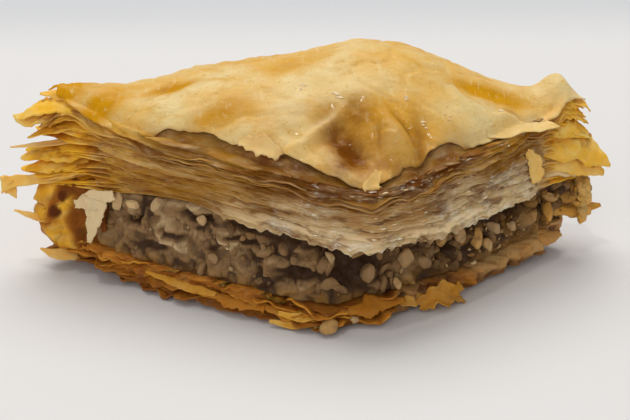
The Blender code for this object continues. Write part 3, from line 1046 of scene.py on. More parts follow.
# Hollows between them, set back and darkened with painted shade: millimetres along the cut from the front
# corner, left of it negative, how far up the filling, how long in millimetres and how tall as a share of the
# filling.
NUT_HOLLOWS = (
    (4.0, 0.52, 3.8, 0.30),
    (22.5, 0.88, 4.0, 0.10),
    (14.0, 0.90, 3.0, 0.10),
    (-0.6, 0.90, 3.6, 0.14),
    (-4.5, 0.42, 3.0, 0.12),
    (-8.5, 0.93, 5.0, 0.09),
    (-11.0, 0.72, 2.6, 0.05),
    (-20.5, 0.52, 2.0, 0.05),
    (-25.5, 0.62, 1.6, 0.05),
    (-23.0, 0.30, 2.0, 0.05),
    (-16.5, 0.86, 3.0, 0.06),
    (12.6, 0.78, 1.8, 0.16),
    (16.4, 0.45, 1.4, 0.06),
    (21.5, 0.80, 1.4, 0.12),
    (27.5, 0.74, 2.2, 0.12),
    (33.0, 0.55, 1.6, 0.15),
)

# Separate pieces: where each sits, x, y, z, and its size, in millimetres, and how pale and how ochre it is.
NUT_CHIPS = (
    (-23.9, -7.2, 10.4, 2.8, 0.95, 0.15),
    (-22.1, -8.8, 10.6, 2.1, 1.05, 0.20),
    (-19.1, -10.8, 11.3, 2.6, 0.85, 0.05),
    (-14.1, -14.0, 10.5, 1.8, 0.85, 0.10),
    (-13.0, -14.8, 6.2, 1.6, 0.65, 0.0),
    (15.6, -13.0, 8.0, 3.8, 0.75, 0.1),
    (13.4, -14.4, 8.1, 3.4, 0.65, 0.3),
    (18.1, -11.5, 6.4, 3.0, 0.8, 0.5),
    (19.6, -10.6, 5.1, 2.4, 0.85, 0.3),
    (20.6, -9.9, 7.0, 3.0, 0.75, 0.0),
    (23.2, -8.0, 6.3, 2.4, 0.8, 0.1),
    (26.0, -5.8, 6.6, 2.6, 0.5, 0.2),
    (28.6, -3.9, 8.4, 3.0, 0.7, 0.3),
    (28.8, -3.6, 6.2, 3.6, 0.6, 0.7),
    (9.0, -17.2, 6.6, 3.1, 0.72, 0.1),
    (11.3, -15.8, 5.6, 2.8, 0.6, 0.0),
    (0.3, -21.3, 9.0, 1.9, 0.75, 0.0),
    (8.1, -17.8, 4.0, 1.8, 0.85, 0.25),
    (4.6, -19.3, 6.0, 3.0, 0.62, 0.0),
    (3.4, -19.8, 8.8, 2.3, 0.45, 0.1),
    (6.0, -18.5, 8.0, 2.4, 0.4, 0.0),
    (17.9, -11.8, 3.4, 1.0, 1.6, 0.0),
    (3.2, -20.4, 1.0, 1.8, 0.95, 0.2),
    (-0.9, -22.2, 1.1, 3.0, 0.75, 0.35),
    (-2.0, -21.0, 0.6, 1.3, 0.9, 0.6),
)


def filling_level(rim, level):
    low = bottom_top(rim.x, rim.y) + LAYER_GAP
    return low + level * (filling_top(rim.x, rim.y) - low)


def filling_bulge(rim, level):
    left = LEFT_NUT_REACH * bell(rim.left, 3 * MM) * math.sin(math.pi * clamp(level)) ** 0.5
    right = RIGHT_NUT_REACH * ramp(level, 0.0, 0.7) * (1 - 0.4 * ramp(level, 0.7, 1.0)) - 0.6 * MM
    right *= bell(rim.right, 4 * MM)
    return left + right


def side_place(draw, level, inset):
    """A point on the filling's side, level of the way up it and inset from the cut, the way out from there,
    and the rim there."""
    rim = RIM[draw.randrange(AROUND)]
    at = past_cut(rim, filling_bulge(rim, level) - inset - 0.4 * MM, filling_level(rim, level))
    return at, Vector((rim.out_x, rim.out_y, 0)), rim


def add_nut(mesh, at, away, size, values, draw, faces):
    """One chopped piece: a ball with a few flat broken faces, and one flush with the cut, whose way out is
    away. values are its tones, and faces how finely it is divided."""
    turn = Euler([draw.uniform(0, 2 * math.pi) for _ in range(3)]).to_matrix()
    shape = Vector((1.0, draw.uniform(0.55, 0.9), draw.uniform(0.4, 0.75)))
    cuts = []
    for _ in range(NUT_CUTS):
        way = Vector([draw.gauss(0, 1) for _ in range(3)]).normalized()
        cuts.append((way, draw.uniform(0.45, 0.85)))
    seed = draw.uniform(0, 50)
    slots = layers(mesh, *NUT_TONES)
    for point in bmesh.ops.create_icosphere(mesh, subdivisions=faces, radius=1.0)["verts"]:
        co = point.co * (1 + 0.22 * noise.noise(point.co * 1.1 + Vector((seed, 0, 0))))
        for way, depth in cuts:
            over = co.dot(way) - depth
            if over > 0:
                co = co - way * over * 0.9
        co = turn @ Vector((co.x * shape.x, co.y * shape.y, co.z * shape.z)) * size / 2
        point.co = at + co - away * max(0.0, co.dot(away) - 0.25 * size) * 0.75
        for slot, value in zip(slots, values):
            point[slot] = value


def hollow(rim, level):
    """1 deep in a hollow of the cut face, and 0 away from them all."""
    near = 0.0
    for at, up, wide, tall in NUT_HOLLOWS:
        near += bell(rim.front / MM - at, wide) * bell(level - up, tall)
    return clamp(1.3 * near)


def filling_side(rim, level):
    """The filling's cut face: lumps of nut pressed together, darkened with painted shade in the cracks and
    hollows, and smooth near the base.
    """
    spot = Vector((rim.x, rim.y, filling_level(rim, level)))
    bent = spot + 0.6 * MM * Vector((rough(*spot, 1.6 * MM, 107.0), rough(*spot, 1.6 * MM, 108.0), 0.0))
    lumpy = 0.6 + 0.4 * ramp(level, 0.1, 0.36)
    broken = ramp(rough(*spot, 3.0 * MM, 111.0), -0.1, 0.45)
    reach, gap, shade = -0.9, 0.0, 0.0
    for number, (size, height, crack, varied, edged) in enumerate(NUT_LUMPS):
        distances, middles = noise.voronoi(bent / (size * MM) + Vector((7.0 * number, 3.0, 0.0)))
        apart = distances[1] - distances[0]
        own = 0.5 + 0.5 * noise.cell(middles[0] * 3.7)
        reach += lumpy * height * (smooth_step(apart / 0.5) ** 0.6 * (0.3 + 0.7 * own) - 0.35)
        # The cracks between lumps and each lump's edges are darkened, as painted shade.
        gap = max(gap, broken * (1 - apart / crack) * (1 - 0.4 * number))
        shade += own * varied - edged * broken * (1 - smooth_step(apart / 0.32))
    # Holes and hollows are set back and darkened, as painted shade.
    hole = ramp(rough(*spot, 2.4 * MM, 109.0), 0.32, 0.55) * (0.45 + 0.55 * ramp(rim.front, -6 * MM, 3 * MM))
    deep = hollow(rim, level)
    reach -= 0.8 * hole * lumpy + (0.6 + 0.8 * ramp(rim.front, -8 * MM, 0.0)) * deep
    gap = max(smooth_step(gap) * lumpy, 0.85 * hole * lumpy, deep)
    reach += 0.15 * rough(*spot, 0.8 * MM, 105.0) + filling_bulge(rim, level) / MM
    shade = 0.14 + lumpy * (0.95 * shade + 0.06 - 0.17 * ramp(rim.front, -8 * MM, 4 * MM))
    shade -= 0.3 * ramp(rough(*spot, 4.5 * MM, 110.0) - level, -0.6, 0.1) * ramp(rim.front, -22 * MM, -8 * MM)
    # Painted shade under the stack, high up right of the front corner; further right the face is darker all
    # the way up.
    dim = 0.3 * ramp(rim.front, 6 * MM, 12 * MM) * ramp(level, 0.4, 0.75)
    dim += 0.2 * ramp(rim.front, 17 * MM, 24 * MM)
    shade *= 1 - dim * (1 - bell(rim.right, 6 * MM))
    ochre = 0.12 * ramp(rim.front, 12 * MM, 30 * MM) + 0.8 * bell(rim.right, 5 * MM)
    ochre *= ramp(rough(*spot, 2.5 * MM, 106.0), -0.2, 0.4)
    ochre = max(ochre, 0.25 * (1 - ramp(level, 0.05, 0.3)) * ramp(rough(*spot, 2.2 * MM, 112.0), -0.4, 0.3))
    return past_cut(rim, reach * MM, spot.z), (shade * (1 - gap), ochre * (1 - gap))


def add_filling_face(mesh):
    add_solid(mesh, bottom_top, filling_side, filling_top, NUT_TONES, NUT_STEPS)


# ---------------------------------------------------------------- the browned leaves underneath

BASE_TONES = ("orange", "dark", "pale")


def base_height(level, rim):
    low = RIM_LIFT + end_curl(rim.x)
    high = bottom_top(rim.x, rim.y) + 0.9 * MM * ramp(rim.front, 2 * MM, -12 * MM)
    high += 0.8 * MM * bell(rim.right, 6 * MM)
    return low + level * (high - low)


def add_base_leaf(mesh, index, count, draw):
    """One browned leaf: torn back here and standing out there, its edge waved up and down."""
    level = (index + 0.5) / count
    long_left, long_right = draw.uniform(0.0, 1.8), draw.uniform(0.0, 0.8)
    seed = 120.0 + index * 3.1
    orange = draw.uniform(0.0, 0.5)

    def shape(rim, t):
        out = 1 - (1 - t) ** 2
        right = ramp(rim.front, 6 * MM, 14 * MM)
        reach = -0.4 - 1.5 * right - 0.8 * bell(rim.right, 4 * MM)
        reach += 1.4 * waver(rim, 2, seed)
        reach += (2.8 - 0.8 * right) * waver(rim, 6, 121.0, index * 5)
        reach = min(reach + 0.35 * waver(rim, 0.9, seed + 4), 1.5)
        tip = bell(rim.left, 2.2 * MM) * long_left + bell(rim.right, 2.2 * MM) * long_right
        reach += tip * (0.6 + 1.2 * abs(waver(rim, 0.8, seed + 1)))
        x, y = leaf_place(rim, BASE_LEAF_ROOT, out, reach * MM * out)
        wave = 1.3 * waver(rim, 6.0, 123.0, index * 2)
        wave += 0.6 * waver(rim, 2.2, seed + 2)
        wave += 0.35 * waver(rim, 1.0, seed + 5)
        z = max(0.12 * MM, base_height(level, rim) + wave * MM * out * out)
        edge = ramp(out, 0.85, 1.0)
        torn = orange + 0.15 + 0.9 * waver(rim, 2.5, seed + 3)
        # The dark tone is partly random patches and partly painted shade low down, where the base curves in
        # under itself; it is darker too near the front corner and right of it.
        dark = 0.8 * ramp(waver(rim, 3.0, 125.0, index * 2), 0.0, 0.4) * (1 - edge)
        dark = max(
            dark,
            0.65 * bell(rim.front - 2 * MM, 12 * MM) * (1 - ramp(level, 0.2, 0.6)),
            0.6 * (1 - ramp(level, 0.2, 0.5)),
            0.45 * bell(rim.front + MM, 8 * MM) * (1 - edge),
            0.55 * bell(rim.front - 14 * MM, 6 * MM),
        )
        pale = right * clamp(0.95 + 0.7 * waver(rim, 2.5, 126.0, index))
        return Vector((x, y, z)), (clamp(edge * torn * (1 - 0.6 * right)), dark, pale)

    add_band(mesh, shape, BASE_TONES)


def base_side(rim, level):
    """The base's cut face: soaked sheets that have run together at the left and crumbled into lumps at the
    right."""
    crumbled = 0.2 + 0.8 * ramp(rim.front, 0.0, 12 * MM)
    height = base_height(level, rim)
    sheet = 3 * level + 1.2 * waver(rim, 6, 127.0)
    sheet += 0.5 * waver(rim, 1.8, 128.0)
    number = math.floor(sheet)
    fallen = sheet - number
    out = waver(rim, 4, 129.0, number * 5)
    out += 0.5 * waver(rim, 1, 130.0, number)
    lump = rough(rim.x, rim.y, height, 2.0 * MM, 134.0) + 0.5 * rough(rim.x, rim.y, height, 0.8 * MM, 135.0)
    reach = 1.1 * (out + 0.5 - fallen) * (1 - crumbled) + (1.2 * lump + 0.2) * crumbled
    reach += 0.4 * waver(rim, 1.2, 131.0, level * 3) - 0.5 - 0.9 * bell(rim.right, 4 * MM)
    # The dark tone is partly random patches and partly painted shade: in the recess under each sheet's edge,
    # between the crumbled lumps and low down where the base curves in under itself; it is darker too near the
    # front corner and right of it.
    dark = clamp(0.75 * ramp(fallen, 0.55, 1.0) + 0.5 * waver(rim, 4, 132.0, number * 4))
    dark += ((1 - ramp(lump, -0.5, 0.0)) * 0.8 - dark) * crumbled
    dark = max(
        dark,
        0.7 * bell(rim.front - 2 * MM, 12 * MM) * (1 - ramp(level, 0.25, 0.55)),
        0.65 * (1 - ramp(level, 0.15, 0.5)),
        0.65 * bell(rim.front + MM, 8 * MM),
        0.55 * bell(rim.front - 14 * MM, 6 * MM),
    )
    orange = clamp(0.6 * out + 0.5 * (1 - ramp(fallen, 0.0, 0.3)))
    pale = ramp(waver(rim, 3, 133.0, level * 2), -0.6, 0.1) * ramp(crumbled, 0.3, 0.8)
    orange += (0.3 * clamp(lump + 0.3) - orange) * crumbled
    return past_cut(rim, reach * MM, height), (orange, dark, 0.9 * pale)


def add_base_face(mesh):
    def under(x, y):
        away = max(abs(x) / HALF_LENGTH, abs(y) / HALF_WIDTH)
        return (RIM_LIFT + end_curl(x)) * ramp(away, FLAT_SHARE, 1.0)

    add_solid(mesh, under, base_side, bottom_top, BASE_TONES, BASE_STEPS)


# ---------------------------------------------------------------- loose flakes, the cup and the syrup

SCRAP_TONES = ("gold", "brown", "dark")

# Scraps and tips of single sheets: the points along each and its width at them, in millimetres, the way it
# faces, how far its edges curl, how gold and brown it is and, where it is more than usual, how ragged.
LEFT_TIPS = (
    (((-20.0, 1.0, 20.0), (-28.5, -0.8, 21.0), (-32.8, -1.5, 20.4), (-35.0, -1.5, 18.9)),
     (2, 5.0, 3.4, 0.3), (-0.2, -0.2, 1), -0.2, 1.0, 0.0),
    (((-20.0, 1.0, 20.6), (-28.0, 0.0, 21.6), (-32.4, 0.5, 21.5)),
     (2, 4.2, 0.5), (-0.2, -0.2, 1), -0.1, 0.9, 0.0),
    (((-20.0, 1.0, 19.0), (-29.5, -1.6, 18.2), (-33.9, -2.0, 16.9)),
     (2, 3.0, 0.2), (-0.2, -0.3, 1), 0.1, 1.0, 0.1),
    (((-22.0, 0.0, 16.6), (-31.0, -2.0, 16.2), (-36.0, -2.0, 15.8)),
     (1.4, 0.9, 0.1), (0, -0.5, 1), 0.1, 0.6, 0.0),
    (((-20.0, 1.0, 16.0), (-29.5, -1.8, 15.4), (-34.0, -2.0, 14.6)),
     (2, 4.2, 0.3), (-0.2, -0.5, 1), -0.1, 1.0, 0.0),
    (((-20.0, 1.0, 15.0), (-29.5, -1.8, 14.2), (-34.5, -2.0, 13.0)),
     (2, 4.4, 0.4), (-0.2, -0.6, 1), -0.1, 1.0, 0.0),
    (((-20.0, 1.0, 14.0), (-29.0, -1.8, 13.2), (-34.1, -2.0, 11.4)),
     (2, 3.8, 0.3), (-0.2, -0.6, 1), 0.1, 0.8, 0.1),
    (((-22.0, 0.0, 13.0), (-31.0, -2.4, 12.2), (-35.6, -2.0, 11.5), (-37.5, -2.0, 11.2)),
     (1.6, 1.2, 1.4, 2.3), (0, -0.8, 0.6), 0.1, 0.75, 0.0),
    (((-36.9, -2.0, 11.0), (-36.3, -2.0, 10.4), (-35.9, -2.0, 9.4)),
     (2.2, 1.3, 0.2), (0, -1, 0.1), 0.0, 0.75, 0.0),
    (((-27.0, 0.0, 5.6), (-33.0, -2.4, 7.0), (-36.3, -2.0, 7.9)),
     (1.8, 1.2, 0.15), (0, -0.6, 0.8), 0.1, 0.7, 0.0),
    (((-25.0, 0.0, 2.0), (-31.0, -2.6, 2.2), (-33.7, -2.0, 2.8)),
     (2.6, 1.5, 0.2), (0, -0.7, 0.7), 0.1, 0.7, 0.1),
)
RIGHT_TIPS = (
    (((26.0, 0.0, 20.0), (31.4, -1.2, 19.6), (33.0, -1.0, 18.4)),
     (2.2, 1.3, 0.25), (0.2, -0.4, 1), 0.1, 0.9, 0.0),
    (((20.0, 0.0, 18.0), (28.5, -2.6, 18.0), (32.4, -1.6, 16.0)),
     (3, 5, 1.6), (0.3, -0.6, 0.7), -0.25, 0.95, 0.0),
    (((19.0, 0.0, 16.0), (28.0, -2.8, 16.0), (33.6, -1.8, 13.6), (36.0, -1.5, 11.5)),
     (3, 6, 4, 0.5), (0.4, -0.6, 0.6), -0.25, 0.95, 0.0),
    (((19.0, 0.0, 14.2), (28.0, -3.2, 13.9), (33.0, -2.2, 12.0), (35.3, -1.5, 10.6)),
     (3, 4.4, 3, 0.7), (0.4, -0.7, 0.5), -0.25, 0.8, 0.0),
    (((19.0, -1.0, 12.4), (27.5, -3.8, 12.4), (32.5, -2.4, 11.0)),
     (2.2, 2.6, 0.7), (0.4, -0.8, 0.4), 0.0, 0.15, 0.0),
    (((24.0, -1.0, 6.4), (31.5, -1.6, 6.2), (35.6, -0.6, 6.0)),
     (1.4, 2.2, 0.6), (0.5, -0.5, 0.7), -0.3, 0.8, 0.5),
    (((22.0, -3.0, 3.4), (27.0, -4.2, 3.2), (30.2, -2.8, 3.2)),
     (1.6, 2.0, 0.9), (0.4, -0.6, 0.8), -0.35, 0.45, 0.6, 0.7),
)
LOOSE_SCRAPS = (
    (((-9.4, -13.2, 19.5), (-7.2, -14.2, 19.4), (-5.0, -15.2, 18.6)),
     (0.9, 2.2, 1.3), (-0.2, -0.7, 0.7), 0.3, 0.4, 0.0, 0.5),
    (((5.2, -18.7, 17.8), (4.3, -19.7, 16.5), (4.9, -20.2, 15.2)),
     (0.8, 1.7, 1.0), (0.1, -1, 0.4), 0.2, 0.5, 0.0, 0.5),
    (((23.9, -7.6, 15.8), (24.9, -7.6, 13.9), (25.2, -7.4, 11.8)),
     (0.9, 2.3, 1.4), (0.5, -0.9, 0.1), 0.15, 0.65, 0.0, 0.5),
    (((21.6, -8.6, 16.0), (22.3, -8.6, 14.6), (22.8, -8.4, 13.2)),
     (0.4, 1.0, 0.3), (0.3, -0.9, 0.1), 0.15, 0.6, 0.0, 0.5),
    (((-28.7, -5.0, 9.6), (-26.4, -6.1, 10.4), (-23.8, -7.3, 11.5)),
     (1.0, 2.3, 1.0), (-0.4, -0.9, 0.1), 0.1, 0.0, 0.0, 0.5),
    (((-26.0, -6.4, 10.6), (-26.5, -6.2, 7.6), (-27.3, -5.8, 5.0)),
     (3.4, 1.7, 0.5), (-0.4, -0.9, 0.1), 0.1, 0.0, 0.0, 0.5),
    (((10.4, -16.4, 0.6), (12.8, -15.4, 1.5), (15.6, -13.8, 0.6)),
     (1.0, 2.6, 1.6), (0.3, -0.8, 0.6), 0.8, 0.9, 0.6, 0.9),
    (((-5.6, -19.2, 1.9), (-3.2, -19.8, 1.5), (-0.6, -20.2, 1.9)),
     (0.4, 1.0, 0.3), (0, -0.8, 0.6), 0.3, 0.9, 0.3),
    (((-6.6, -19.0, 0.8), (-4.0, -19.8, 0.6), (-1.4, -20.4, 0.9)),
     (0.3, 0.8, 0.2), (0, -0.8, 0.6), 0.3, 0.9, 0.3),
    (((-20.5, -9.6, 2.9), (-16.0, -12.6, 2.4), (-12.4, -14.8, 2.2)),
     (0.4, 1.3, 0.7), (-0.3, -0.4, 0.85), -0.2, 0.9, 0.55, 0.6),
    (((-15.0, -13.2, 2.3), (-11.0, -15.7, 1.9), (-7.0, -18.0, 2.0)),
     (0.5, 1.6, 1.0), (-0.3, -0.4, 0.85), -0.25, 1.0, 0.85, 0.9),
    (((-8.8, -16.8, 2.3), (-5.0, -18.8, 1.8), (-1.0, -20.7, 2.1)),
     (0.5, 1.5, 0.5), (-0.3, -0.5, 0.8), -0.2, 1.0, 0.8, 0.9),
    (((1.0, -20.4, 2.3), (4.4, -19.4, 2.5), (8.6, -17.4, 2.1)),
     (0.5, 2.2, 0.7), (0.3, -0.6, 0.75), -0.3, 1.0, 0.85, 1.0),
    (((8.0, -17.2, 1.6), (10.0, -16.2, 1.4), (12.0, -14.9, 0.8)),
     (0.8, 1.6, 0.6), (0.3, -0.6, 0.7), 0.3, 0.8, 0.4, 0.5),
)


def add_scrap(mesh, seed, spine, widths, facing, curl, gold, brown, ragged=0.3):
    """A torn strip of pastry along a curve: spine is its points and widths its width at them, all in
    millimetres, facing the way its flat side looks, and curl how far its long edges turn up."""
    facing = Vector(facing).normalized()
    points = [Vector(point) for point in spine]
    points = [2 * points[0] - points[1], *points, 2 * points[-1] - points[-2]]
    count = len(spine) - 1

    def shape(u, v):
        at, towards = spine_point(points, v)
        across = towards.cross(facing).normalized()
        up = across.cross(towards).normalized()
        place = min(v, 0.9999) * count
        index = int(place)
        wide = widths[index] + (place - index) * (widths[index + 1] - widths[index])
        side = 2 * u - 1
        coarse = noise.noise(Vector((v * count * 2.2, side, seed)))
        fine = noise.noise(at * 2.2 + Vector((side, 0, seed)))
        tear = 1 + ragged * (coarse + 0.6 * fine)
        along = ragged * 0.5 * noise.noise(Vector((side * 1.6, seed, 3.0))) * (2 * v - 1) * min(1.0, wide)
        at = at + across * side * wide / 2 * tear + towards * along
        buckle = 0.12 * wide * noise.noise(at * 1.3 + Vector((seed, 0, 0)))
        at = at + up * (curl * side * side * wide / 2 + buckle)
        return at * MM, (gold, brown, 0.0)

    add_sheet(mesh, shape, SCRAP_TONES, *SCRAP_STEPS)


def rim_at(corner, distance):
    """The rim point a distance along the cut from a corner: 0 right, 1 back, 2 left, 3 front."""
    place = (corner / 4 + distance / (4 * RIM_SIDE)) * AROUND
    first, second = RIM[math.floor(place) % AROUND], RIM[(math.floor(place) + 1) % AROUND]
    share = place - math.floor(place)
    return [a + share * (b - a) for a, b in zip(first[:4], second[:4])]


# The cup's two ends and its two burnt spots, in millimetres: how far along the rim from the left corner,
# towards the front when above 0, and for a spot how high and how wide.
CUP_FROM, CUP_TO = -9.0, 8.5
CUP_SPOTS = ((2.7, 8.1, 0.85), (3.3, 9.9, 0.75))


def add_cup(mesh):
    """The browned sheet that wraps the filling's left end like a cup, from the base to the stack."""

    def shape(u, v):
        along = CUP_FROM + (CUP_TO - CUP_FROM) * u
        x, y, out_x, out_y = rim_at(2, along * MM)
        torn = 1 + 0.2 * noise.noise(Vector((along * 0.9, v * 3, 1.0)))
        fade = ramp(u, 0.0, 0.15) * (1 - ramp(u, 0.58, 0.9))
        reach = (2.6 * math.sin(math.pi * v) ** 0.6 * torn * fade - 0.9 + 0.8 * fade) * MM
        crease = abs(rough(along, v * 8, 0, 2.4, 146.0))
        reach += (0.6 * rough(along, v * 7, 0, 2.2, 141.0) + 0.4 * rough(along, v * 8, 0, 1.0, 144.0)) * MM
        reach -= 0.5 * MM * max(0.0, 1 - crease / 0.12)
        z = 2.6 + 8.6 * v + 0.9 * u * v + 0.35 * rough(along, v, 0, 1.6, 142.0)
        spots = 0.0
        for at, up, wide in CUP_SPOTS:
            away = math.hypot(along - at, (z - up) * 0.8)
            spots = max(spots, 1.3 * ramp(away, wide, 0.5 * wide))
        # Painted shade: the cup's top, past its first few millimetres, and all of it further along lie in a
        # recess under the stack, and are browned and darkened.
        shaded = max(ramp(v, 0.66, 0.88) * ramp(along, 1.6, 3.0), ramp(along, 3.2, 5.0))
        brown = shaded + 0.38 + 1.2 * rough(along, v * 8, 0, 1.6, 143.0) + 0.3 * (crease < 0.06)
        dark = max(spots, 0.6 * shaded + 0.4 * rough(along, v * 8, 0, 1.5, 145.0))
        return Vector((x + out_x * reach, y + out_y * reach, z * MM)), (1.0, clamp(brown), clamp(dark))

    add_sheet(mesh, shape, SCRAP_TONES, *CUP_STEPS)


# Where syrup beads stand on the skin, x, y and length in millimetres. Their near-white colour is a painted
# highlight.
SKIN_BEADS = (
    (-0.4, -8.4, 1.5), (-3.2, -5.9, 1.0), (8.4, -11.8, 1.1), (7.7, -9.2, 0.9),
    (19.9, -6.5, 1.2), (17.5, -8.7, 1.2), (-10.6, -2.0, 0.9), (-3.8, -6.4, 0.6),
    (6.6, -12.8, 0.5), (20.6, -6.9, 0.6), (-28.5, 1.0, 1.2), (12.0, -10.6, 0.7),
)
BEADS_TOGETHER = 3  # beads that stand near each of those places


def add_bead(mesh, at, length, towards):
    """A bead of syrup drawn out along the way it runs."""
    across = towards.cross(UP).normalized()
    thickness = 0.12 * length + 0.1 * MM
    for point in bmesh.ops.create_icosphere(mesh, subdivisions=2, radius=0.5)["verts"]:
        co = point.co
        point.co = at + towards * co.x * length + (across * co.y + UP * co.z) * thickness


# ---------------------------------------------------------------- the operators


def settings():
    scene = bpy.context.scene
    return scene.baklava_sizes, scene.baklava_colours


class BaklavaSkin(bpy.types.Operator):
    """Make the glazed top skin and the torn sheets lying on it."""

    bl_idname = "baklava.skin"
    bl_label = "Glazed Skin"

    def execute(self, context):
        sizes, colours = settings()
        finish = skin_finish(colours)
        mesh = bmesh.new()
        add_skin(mesh)
        make_piece(mesh, "glazed_skin", finish, "top_pastry", sizes.skin_wall)
        mesh = bmesh.new()
        for number, row in enumerate(UNDER_SHEETS):
            add_under_sheet(mesh, number, row)
        make_piece(mesh, "under_sheets", leaf_finish(colours), "top_pastry", sizes.leaf_wall)
        mesh = bmesh.new()
        for number, (points, side, depth, lift) in enumerate(OVERLAPS):
            add_overlap(mesh, points, side, depth, lift, 30.0 + 5 * number)
        make_piece(mesh, "skin_overlaps", finish, None, OVERLAP_WALL)
        return {"FINISHED"}


class BaklavaStack(bpy.types.Operator):
    """Make the stack of thin pastry leaves under the skin."""

    bl_idname = "baklava.stack"
    bl_label = "Pastry Leaves"

    def execute(self, context):
        sizes, colours = settings()
        finish = leaf_finish(colours)
        mesh = bmesh.new()
        add_stack_face(mesh)
        make_piece(mesh, "stack_face", finish, "top_pastry")
        draw = random.Random(11)
        for group in range(LEAF_GROUPS):
            mesh = bmesh.new()
            first, past = [each * sizes.leaves // LEAF_GROUPS for each in (group, group + 1)]
            for index in range(first, past):
                add_stack_leaf(mesh, index, sizes.leaves, draw)
            name = f"stack_leaves_{group + 1}"
            make_piece(mesh, name, finish, "top_pastry", sizes.leaf_wall)
        return {"FINISHED"}


class BaklavaNuts(bpy.types.Operator):
    """Make the filling: its lumpy cut face, and the chopped nuts, crumbs and chips packed round it."""

    bl_idname = "baklava.nuts"
    bl_label = "Chopped Nuts"

    def execute(self, context):
        sizes, colours = settings()
        finish = nut_finish(colours)
        mesh = bmesh.new()
        add_filling_face(mesh)
        make_piece(mesh, "filling_face", finish, "nut_filling")
        draw = random.Random(23)

        def place(inset):
            while True:
                level = draw.uniform(0.12, 1.0)
                at, away, rim = side_place(draw, level, inset)
                wanted = 0.3 + 0.4 * ramp(rim.front, 0.0, 10 * MM)
                if draw.random() < wanted and hollow(rim, level) < 0.4:
                    return at, away, 0.9 * ramp(rim.front, 5 * MM, 32 * MM)

        def nut(part):
            size = sizes.nut_size * (0.4 + 0.6 * draw.random() ** 1.3)
            at, away, ochre = place(size * draw.uniform(0.3, 0.65))
            values = 0.18 - 0.34 * ochre + 0.46 * draw.betavariate(2.0, 2.2), ochre * draw.uniform(0.0, 0.35)
            add_nut(part, at, away, size, values, draw, 2)

        def crumb(part):
            at, away, ochre = place(draw.uniform(-0.3, 0.6) * MM)
            size = draw.uniform(0.3, 0.9) * MM
            values = draw.uniform(0.2, 1.0), 0.3 * ochre
            add_nut(part, at, away, size, values, draw, 1)

        def end_nut(part):
            across, deep, high = draw.uniform(-1, 1), draw.random(), draw.uniform(-1, 1)
            at = (END_NUTS_AT + END_NUTS_SPREAD * Vector((deep, across, high))) * MM
            values = draw.uniform(0.7, 1.2), draw.uniform(0.6, 1.0)
            size = sizes.nut_size * draw.uniform(0.5, 1.0)
            add_nut(part, at, Vector((1, 0, 0)), size, values, draw, 2)

        chips = iter(NUT_CHIPS)

        def chip(part):
            x, y, z, size, pale, ochre = next(chips)
            away = Vector((math.copysign(HALF_WIDTH, x), -HALF_LENGTH, 0)).normalized()
            at = Vector((x, y, z)) * MM - away * 0.8 * MM
            add_nut(part, at, away, 0.85 * size * MM, (pale, ochre), draw, 3)

        makers = (
            ("chopped_nuts", sizes.nuts, nut),
            ("nut_crumbs", sizes.crumbs, crumb),
            ("end_nuts", sizes.end_nuts, end_nut),
            ("nut_chips", len(NUT_CHIPS), chip),
        )
        for name, count, make in makers:
            mesh = bmesh.new()
            add_many(mesh, count, make, NUT_TONES)
            make_piece(mesh, name, finish, "nut_filling")
        return {"FINISHED"}


class BaklavaScraps(bpy.types.Operator):
    """Make the torn tips at both ends, the cup round the filling and the loose scraps."""

    bl_idname = "baklava.scraps"
    bl_label = "Tips and Scraps"

    def execute(self, context):
        sizes, colours = settings()
        finish = scrap_finish(colours)
        seed = 300.0
        groups = ("left_tips", LEFT_TIPS), ("right_tips", RIGHT_TIPS), ("loose_scraps", LOOSE_SCRAPS)
        for name, rows in groups:
            mesh = bmesh.new()
            for row in rows:
                seed += 7
                add_scrap(mesh, seed, *row)
            make_piece(mesh, name, finish, None, sizes.leaf_wall)
        mesh = bmesh.new()
        add_cup(mesh)
        make_piece(mesh, "filling_cup", finish, None, CUP_WALL)
        return {"FINISHED"}


class BaklavaSyrup(bpy.types.Operator):
    """Make the beads of syrup on the skin and the cut leaves, whose near-white colour is a painted highlight.
    """

    bl_idname = "baklava.syrup"
    bl_label = "Syrup Beads"

    def execute(self, context):
        sizes, colours = settings()
        draw = random.Random(53)
        mesh = bmesh.new()
        for x, y, longest in SKIN_BEADS:
            for _ in range(BEADS_TOGETHER):
                near_x, near_y = (x + draw.uniform(-0.4, 0.4)) * MM, (y + draw.uniform(-0.4, 0.4)) * MM
                at = Vector((*lean(near_x, near_y), skin_height(near_x, near_y) + 0.04 * MM))
                turn = draw.uniform(-0.6, 0.6)
                size = longest * draw.uniform(0.3, 0.8) * MM
                add_bead(mesh, at, size, Vector((math.cos(turn), math.sin(turn), 0)))
        for _ in range(sizes.side_beads):
            from_front = round(draw.triangular(-0.10, 0.17, 0.02) * AROUND)
            rim = RIM[(AROUND * 3 // 4 + from_front) % AROUND]
            at = stack_side(rim, draw.uniform(0.1, 0.95))[0]
            along = Vector((-rim.out_y, rim.out_x, draw.uniform(-0.1, 0.1)))
            add_bead(mesh, at, draw.uniform(0.3, 0.9) * MM, along.normalized())
        make_piece(mesh, "syrup_glint_beads", painted_glint_finish(colours))
        return {"FINISHED"}


class BaklavaBase(bpy.types.Operator):
    """Make the browned leaves underneath."""

    bl_idname = "baklava.base"
    bl_label = "Browned Leaves"

    def execute(self, context):
        sizes, colours = settings()
        finish = base_finish(colours)
        mesh = bmesh.new()
        add_base_face(mesh)
        make_piece(mesh, "base_face", finish, "bottom_pastry")
        draw = random.Random(37)
        mesh = bmesh.new()
        for index in range(sizes.base_leaves):
            add_base_leaf(mesh, index, sizes.base_leaves, draw)
        make_piece(mesh, "base_leaves", finish, "bottom_pastry", BASE_LEAF_WALL)
        return {"FINISHED"}


# ---------------------------------------------------------------- the stage

